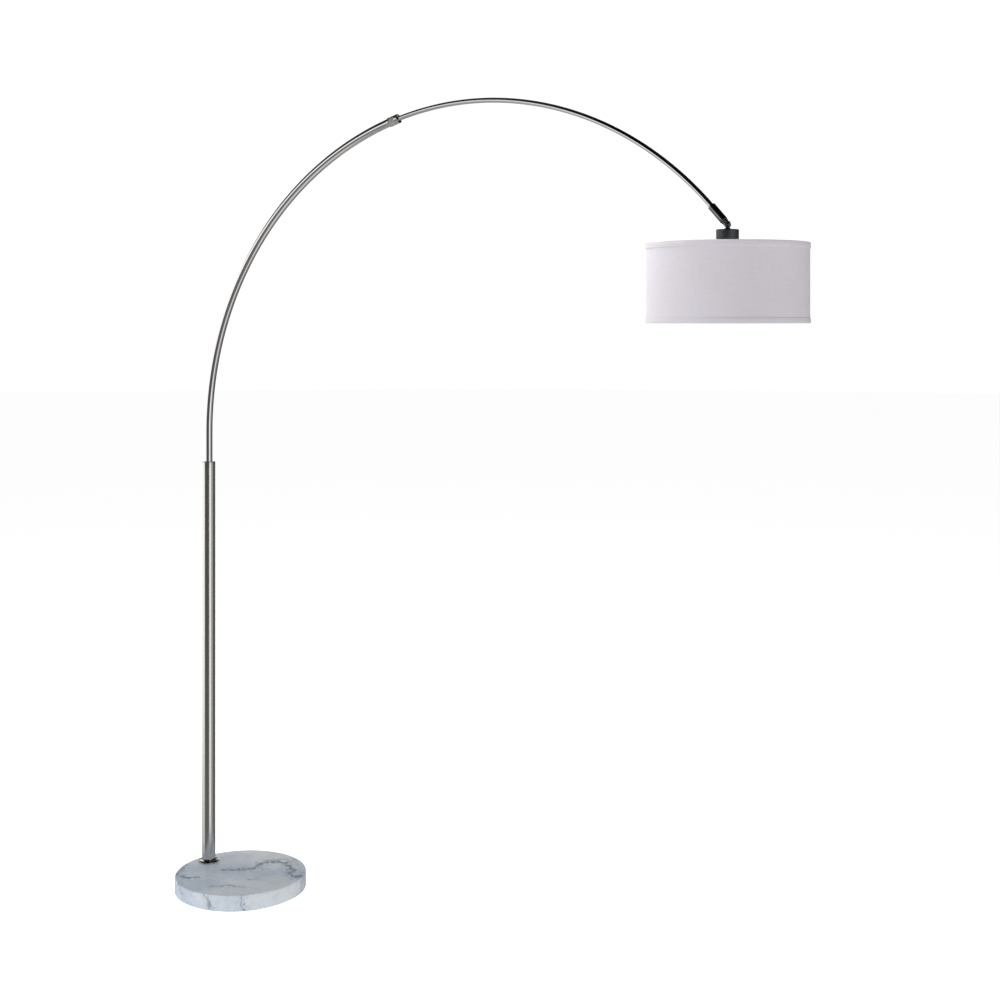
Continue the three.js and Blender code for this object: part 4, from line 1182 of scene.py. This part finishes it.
def thread(pitch, depth, inner, outer):
    """A shape that rolls a screw thread into walls between two radii."""
    def shape(angle, radius, height):
        if not inner < radius < outer:
            return radius
        return radius + depth * math.sin(2 * math.pi * height / pitch - angle)
    return shape


shell_outline = divided(filleted([
    (0.0137, shell_low.z, 0.0002), (0.0142, shell_low.z, 0.0002), (0.0142, shell_high.z, 0.0004),
    (0.005, shell_high.z, 0), (0.005, shell_high.z - 0.0006, 0), (0.0137, shell_high.z - 0.0006, 0.0004),
], 3), 0.0009)
shell = turned(shell_outline, 72, shape=thread(0.0036, 0.00012, 0.0135, 0.0145))
piece("brass_shell", shell, brass, "head", ["lampholder_shell"], at=head_place, sharp=60)

disc_low, disc_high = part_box("lampholder_insulator")
insulator = disc(filleted([
    (0.002, disc_low.z, 0), (0.015, disc_low.z, 0.0007),
    (0.015, disc_high.z, 0.0007), (0.002, disc_high.z, 0),
]))
lathe("porcelain_disc", insulator, 64, porcelain, "head", "lampholder_insulator", head_place, closed=False)

# %% [markdown]
# ### Turn switch
# A small knob on a spindle, with shallow flutes and a domed end.

# %% Switch knob
knob_place = Matrix.Translation((pivot.x, pivot.y, middle_of("switch_knob").z)) @ SIDEWAYS
knob_foot = HOLDER_RADIUS + 0.003


def fluted(angle, radius, height):
    gripping = radius > 0.0038 and knob_foot + 0.0018 < height < knob_foot + 0.0128
    return radius - 0.0004 * (0.5 - 0.5 * math.cos(14 * angle)) * gripping


knob_outline = disc(filleted([
    (0.0005, HOLDER_RADIUS - 0.0034, 0), (0.002, HOLDER_RADIUS - 0.0034, 0.0003), (0.002, knob_foot, 0),
    (0.0054, knob_foot, 0.0007), (0.0050, knob_foot + 0.014, 0.0015), (0.0005, knob_foot + 0.0141, 0),
], 6))
knob = turned(knob_outline, 112, closed=False, shape=fluted)
piece("fluted_switch_knob", knob, phenolic, "switch", ["switch_knob"], at=knob_place)

# %% [markdown]
# ## Bulb
# A frosted pear-shaped bulb with a rolled screw cap. The glass outline is an arc for the belly and a
# smooth ease into the neck, and the cap's thread is rolled into its wall.

# %% Bulb glass and cap
glass_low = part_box("bulb_glass")[0]
bulb_cap_low, bulb_cap_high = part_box("bulb_cap")
BULB_RADIUS = 0.030
NECK_RADIUS = 0.0114
GLASS_WALL = 0.001
belly = glass_low.z + BULB_RADIUS
shoulder = bulb_cap_low.z - 0.0003

outside = [Vector(point) for point in arc_points((0, belly), BULB_RADIUS, -90, 20, 26)]
leave = outside[-1]
for step in range(1, 21):
    share = step / 20
    rise = leave.y + (shoulder - leave.y) * share
    ease = (1 - share) ** 2 * (1 + 2 * share) - 0.35 * share * (1 - share)
    outside.append(Vector((NECK_RADIUS + 0.0008 + (leave.x - NECK_RADIUS - 0.0008) * ease, rise)))
throat_top = shoulder + 0.006
throat = [(NECK_RADIUS, shoulder), (NECK_RADIUS, throat_top), (NECK_RADIUS - GLASS_WALL, throat_top)]
shrink = 1 - GLASS_WALL / BULB_RADIUS
inside = [Vector((point.x * shrink, belly + (point.y - belly) * shrink)) for point in outside]
glass = turned(outside + throat + inside[::-1], 72, closed=False)
piece("frosted_bulb", glass, frosted, "head", ["bulb_glass"], at=head_place, sharp=60)

cap_top = bulb_cap_high.z
bulb_cap_outline = divided(filleted([
    (0.0005, cap_top, 0), (0.004, cap_top, 0.0006), (0.005, cap_top - 0.0015, 0.0006),
    (0.0112, cap_top - 0.005, 0.001), (0.0128, cap_top - 0.0075, 0.0008), (0.0128, bulb_cap_low.z, 0.0004),
    (0.012, bulb_cap_low.z, 0.0003), (0.012, cap_top - 0.008, 0.0005), (0.0005, cap_top - 0.008, 0),
], 4), 0.0007)
cap_thread = thread(0.0036, 0.00028, 0.01275, 0.0132)
bulb_cap = turned(disc(bulb_cap_outline[:-1]), 72, closed=False, shape=cap_thread)
piece("rolled_bulb_cap", bulb_cap, tin, "head", ["bulb_cap"], at=head_place, sharp=60)

# %% [markdown]
# ## Drum shade
# Two wire rings and a three-armed spider carry a cylinder of cloth on a white liner. The wires are
# round, the spider's arms are swept tubes with a soft bend where they rise to the ring.

# %% Wire frame
fabric_low, fabric_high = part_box("shade_fabric")
spider_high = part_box("shade_spider")[1]
trim_low, trim_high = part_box("shade_trim_top")
SHADE_RADIUS = (trim_high.x - trim_low.x) / 2
CLOTH_RADIUS = (fabric_high.x - fabric_low.x) / 2 - 0.0004
CLOTH_WALL = 0.0007
LINER_RADIUS = CLOTH_RADIUS - CLOTH_WALL - 0.0003
WIRE = 0.0016
HOOP_RADIUS = (spider_high.y - pivot.y) - WIRE - 0.0004


def wire_hoop(radius, wire, height, sides):
    return turned(arc_points((radius, height), wire, 0, 345, 23), sides)


def swept(points, radius, sides):
    """A round wire through points that lie in the XZ plane, with closed ends."""
    made = bmesh.new()
    made.loops.layers.uv.new("metres")
    rings = []
    for index, point in enumerate(points):
        ahead = points[min(index + 1, len(points) - 1)] - points[max(index - 1, 0)]
        across = Vector((-ahead.z, 0, ahead.x)).normalized() * radius
        aside = Vector((0, radius, 0))
        rings.append([
            made.verts.new(point + across * math.cos(turn) + aside * math.sin(turn))
            for turn in (2 * math.pi * side / sides for side in range(sides))
        ])
    for near, far in zip(rings, rings[1:]):
        for side in range(sides):
            following = (side + 1) % sides
            made.faces.new((near[side], near[following], far[following], far[side]))
    made.faces.new(rings[0][::-1])
    made.faces.new(rings[-1])
    bmesh.ops.recalc_face_normals(made, faces=made.faces)
    return made


hub_top = cap_low.z - 0.0003
HUB_THICKNESS = 0.002
spoke_z = hub_top - HUB_THICKNESS / 2
ring_z = spider_high.z - WIRE
RISE_START = HOOP_RADIUS - 0.036
spoke_line = [Vector((0.029, 0, spoke_z)), Vector((RISE_START, 0, spoke_z))]
for step in range(1, 17):
    share = step / 16
    spoke_line.append(Vector((
        RISE_START + (HOOP_RADIUS - RISE_START) * share,
        0,
        spoke_z + (ring_z - spoke_z) * share * share * (3 - 2 * share),
    )))
spider_parts = [turned(filleted([
    (HOLDER_RADIUS + 0.0006, hub_top - HUB_THICKNESS, 0.0003), (0.031, hub_top - HUB_THICKNESS, 0.0005),
    (0.031, hub_top, 0.0005), (HOLDER_RADIUS + 0.0006, hub_top, 0.0003),
]), 96)]
SPOKES = 3
for number in range(SPOKES):
    arm = swept(spoke_line, 0.0019, 20)
    arm.transform(Matrix.Rotation(math.pi / 2 + number * 2 * math.pi / SPOKES, 4, "Z"))
    spider_parts.append(arm)
spider_parts.append(wire_hoop(HOOP_RADIUS, WIRE, ring_z, 180))
piece("wire_spider", joined(*spider_parts), zinc, "head", ["shade_spider"], at=head_place, sharp=50)

bottom_wire_z = middle_of("shade_bottom_ring").z
bottom_hoop = wire_hoop(HOOP_RADIUS, WIRE, bottom_wire_z, 180)
piece("wire_bottom_ring", bottom_hoop, zinc, "head", ["shade_bottom_ring"], at=head_place)

# %% [markdown]
# ### Cloth, liner and folded trims
# The cloth is a single stretched sheet round the liner, so it is perfectly round, apart from a lapped
# seam at the back where its two ends are glued. The trims are narrow strips folded over the wires:
# they stand a little proud, with a soft roll at the edge and faint puckers.

# %% Cloth and liner
def drum_wall(radius, longest):
    """The outline of a wall as tall as the cloth, with its outside at that radius."""
    inside = radius - CLOTH_WALL
    low, high = fabric_low.z, fabric_high.z
    return divided([(inside, low), (radius, low), (radius, high), (inside, high)], longest)


SEAM_ANGLE = VIEW_TURN + math.pi / 2 + math.radians(8)
SEAM_WIDTH = 0.011


def lapped(angle, radius, height):
    """Lifts the outer face by the cloth's thickness over the lapped seam."""
    away_from_seam = abs((angle - SEAM_ANGLE + math.pi) % (2 * math.pi) - math.pi) * CLOTH_RADIUS
    lift = min(1.0, max(0.0, (SEAM_WIDTH / 2 - away_from_seam) / 0.0015))
    return radius + 0.00045 * lift * (radius > CLOTH_RADIUS - CLOTH_WALL / 2)


drum = turned(drum_wall(CLOTH_RADIUS, 0.012), 720, shape=lapped)
cloth = piece("shade_cloth", drum, cotton, "head", ["shade_fabric"], at=head_place, sharp=60)
lathe("shade_lining", drum_wall(LINER_RADIUS, 0.03), 240, liner, "head", "shade_liner", head_place, sharp=60)

# %% Folded trims
TRIM_HEIGHT = 0.0125
TRIM_WALL = 0.0008


def puckered(angle, radius, height):
    """Faint puckers where a straight strip is folded round a ring."""
    waver = math.sin(61 * angle) + math.sin(97 * angle + 1.3) + math.sin(143 * angle + 0.4)
    return radius + 0.00006 * waver * (radius > SHADE_RADIUS - 0.001)


def folded_trim(edge, inward):
    """A strip that covers the outside for its height and turns in over the edge. inward is 1 at the top."""
    inner = LINER_RADIUS - CLOTH_WALL - 0.0002
    end = edge - inward * TRIM_HEIGHT
    outline = filleted([
        (inner, edge, 0), (SHADE_RADIUS - 0.0002, edge, 0.0012),
        (SHADE_RADIUS + 0.0002, edge - inward * 0.006, 0.003),
        (SHADE_RADIUS - 0.0002, end, 0.0003), (CLOTH_RADIUS + 0.0002, end, 0),
        (CLOTH_RADIUS + 0.0002, edge - inward * TRIM_WALL, 0), (inner, edge - inward * TRIM_WALL, 0),
    ], 5)
    return turned(divided(outline, 0.0012), 480, shape=puckered)


for level, edge, inward in (("top", trim_high.z, 1), ("bottom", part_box("shade_trim_bottom")[0].z, -1)):
    strip = folded_trim(edge, inward)
    name = "folded_" + level + "_trim"
    node = "shade_trim_" + level
    piece(name, strip, cotton_trim, "head", [node], at=head_place, sharp=60)

# %% [markdown]
# Each strip of cloth was cut flat. The drum's cloth is its girth plus the
# lap. A trim strip is as wide as its outside and the part that turns in.

# %% [markdown]
# ## Parts inside
# The clamp under the marble, the swivel seat, the collet and the flex hardly show. Their shapes in
# the frame are right, so they stay, with proper finishes.

# %% Finish the inner parts
INNER_PARTS = {
    zinc: ["tie_tube", "base_washer", "base_lock_washer", "base_nut", "pole_foot_plug", "cap_nut"],
    nylon: ["pole_seat", "swivel_washer", "collar_collet", "guide_ring"],
    brass: ["centre_contact"],
    rubber: ["flex_inlet", "flex_pole", "flex_lower", "flex_upper", "flex_head"],
}
for material, names in INNER_PARTS.items():
    for name in names:
        mesh = frame["nodes"][name].data
        mesh.materials.clear()
        mesh.materials.append(material)
    print(material.name, "on", len(names), "inner parts")

# %% [markdown]
# ## Floor and light
# The lamp stands on a plain white floor in a white room. Polished tubes show their surroundings, so
# the room is lit as a studio is: bright to the left and behind, a narrow strip to the right of the
# camera, and dim in front and overhead. Those reflections give the long dark and bright bands.

# %% Floor
FLOOR_RADIUS = 30.0
floor_outline = disc([(0.5, 0), (FLOOR_RADIUS, 0), (FLOOR_RADIUS, -0.01)])
floor_mesh = turned(floor_outline, 64, closed=False)
floor_data = bpy.data.meshes.new("floor")
floor_mesh.to_mesh(floor_data)
floor_mesh.free()
floor = bpy.data.objects.new("floor", floor_data)
bpy.context.scene.collection.objects.link(floor)
floor.location.z = -0.0005
floor.visible_glossy = False
FLOOR_GLOW = 0.50
FLOOR_SHOWN = 0.92
white_floor, tree, shader = finish(
    "white_floor", "floor", Roughness=0.9, Specular_IOR_Level=0.0,
    Base_Color=grey(0.9), Emission_Color=grey(1.0),
)
seen = add(tree, "LightPath").outputs["Is Camera Ray"]
glow = add(tree, "MapRange", {"Value": seen, "To Min": FLOOR_GLOW, "To Max": FLOOR_SHOWN}).outputs["Result"]
paint(tree, shader, Emission_Strength=glow)
floor_data.materials.append(white_floor)
floor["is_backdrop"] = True


# %% Room light by direction
def horizon(tree, place, stops):
    """Brightness round the horizon, from (degrees, level) stops. Zero is toward the camera."""
    ramp = add(tree, "ValToRGB", {"Fac": place})
    marks = ramp.color_ramp.elements
    while len(marks) < len(stops):
        marks.new(0.5)
    for mark, (angle, level) in zip(marks, stops):
        mark.position = (angle + 180) / 360
        mark.color = grey(level)
    return ramp.outputs["Color"]


def room_light():
    """Brightness by direction: one ring at eye height, one lower, one underfoot, and dark overhead."""
    world = bpy.data.worlds.new("studio")
    bpy.context.scene.world = world
    world.use_nodes = True
    tree = world.node_tree
    background = next(node for node in tree.nodes if node.type == "BACKGROUND")
    direction = add(tree, "TexCoord").outputs["Generated"]
    sideways = vectors(tree, "DOT_PRODUCT", direction, to_right)
    forward = vectors(tree, "DOT_PRODUCT", direction, to_camera)
    height = add(tree, "SeparateXYZ", {0: direction}).outputs["Z"]
    turn = add(tree, "Math", {0: sideways, 1: forward}, operation="ARCTAN2").outputs[0]
    whole_turn = {"Value": turn, "From Min": -math.pi, "From Max": math.pi}
    place = add(tree, "MapRange", whole_turn).outputs["Result"]
    high = horizon(tree, place, [
        (-180, 1.4), (-64, 1.4), (-55, 0.10), (18, 0.10), (24, 1.3), (48, 1.3), (54, 0.50), (84, 0.45),
        (94, 0.09), (158, 0.09), (166, 1.4), (180, 1.4),
    ])
    low = horizon(tree, place, [
        (-180, 0.45), (-64, 0.58), (-54, 0.18), (16, 0.18), (26, 1.0), (48, 1.0), (56, 0.35), (84, 0.25),
        (110, 0.14), (135, 0.16), (150, 0.40), (180, 0.45),
    ])
    under = horizon(tree, place, [
        (-180, 0.42), (-110, 0.42), (-90, 0.32), (-60, 0.32), (-46, 0.75), (40, 0.90), (62, 0.50), (95, 0.30),
        (130, 0.20), (160, 0.42), (180, 0.42),
    ])
    falling = remap(tree, height, -0.80, -0.66)
    lower_room = add(tree, "Mix", {"Factor": falling, "A": under, "B": low}).outputs["Result"]
    rising = remap(tree, height, -0.33, -0.22)
    ring = add(tree, "Mix", {"Factor": rising, "A": lower_room, "B": high}).outputs["Result"]
    overhead = remap(tree, height, 0.19, 0.34, 1.0, 0.02)
    seen_in_metal = multiply(tree, ring, overhead)
    straight = add(tree, "LightPath").outputs["Is Camera Ray"]
    shown = add(tree, "Mix", {"Factor": straight, "A": seen_in_metal, "B": 1.05}).outputs["Result"]
    tree.links.new(shown, background.inputs["Color"])


room_light()

# %% [markdown]
# Soft lights fill the cloth and the stone. They are large and far away, and metal doesn't show them.

# %% Soft lights
def soft_light(name, place, aim, size, power):
    """A round lamp that faces its aim: size across in metres, power in watts."""
    data = bpy.data.lights.new(name, "AREA")
    data.shape = "DISK"
    data.size = size
    data.energy = power
    light = bpy.data.objects.new(name, data)
    light.location = place
    light.rotation_euler = (Vector(place) - Vector(aim)).to_track_quat("Z", "Y").to_euler()
    light.visible_glossy = False
    bpy.context.scene.collection.objects.link(light)
    return light


shade_middle = (pivot.x, pivot.y, middle_of("shade_fabric").z)
left_side = pole_axis - to_right * 3.0 + to_camera * 1.5
front_side = pole_axis + to_right * 3.1 + to_camera * 4.0
soft_light("left_soft_light", (left_side.x, left_side.y, 1.2), shade_middle, 2.0, 34)
soft_light("front_soft_light", (front_side.x, front_side.y, 2.0), shade_middle, 2.5, 38)
soft_light("top_soft_light", (0.3, -0.3, 3.2), (0, 0, 0), 1.6, 42)

# %% [markdown]
# ## Check and finish
# The finished lamp should fill the same box as the engineering model. How far its top corner
# grows past that box is printed.

# %% Compare the sizes
lamp_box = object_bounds()
growth = [round(1000 * (visual - cad), 2) for cad, visual in zip(cad_box[1], lamp_box[1])]
print("box grows by", growth, "mm at the top corner")
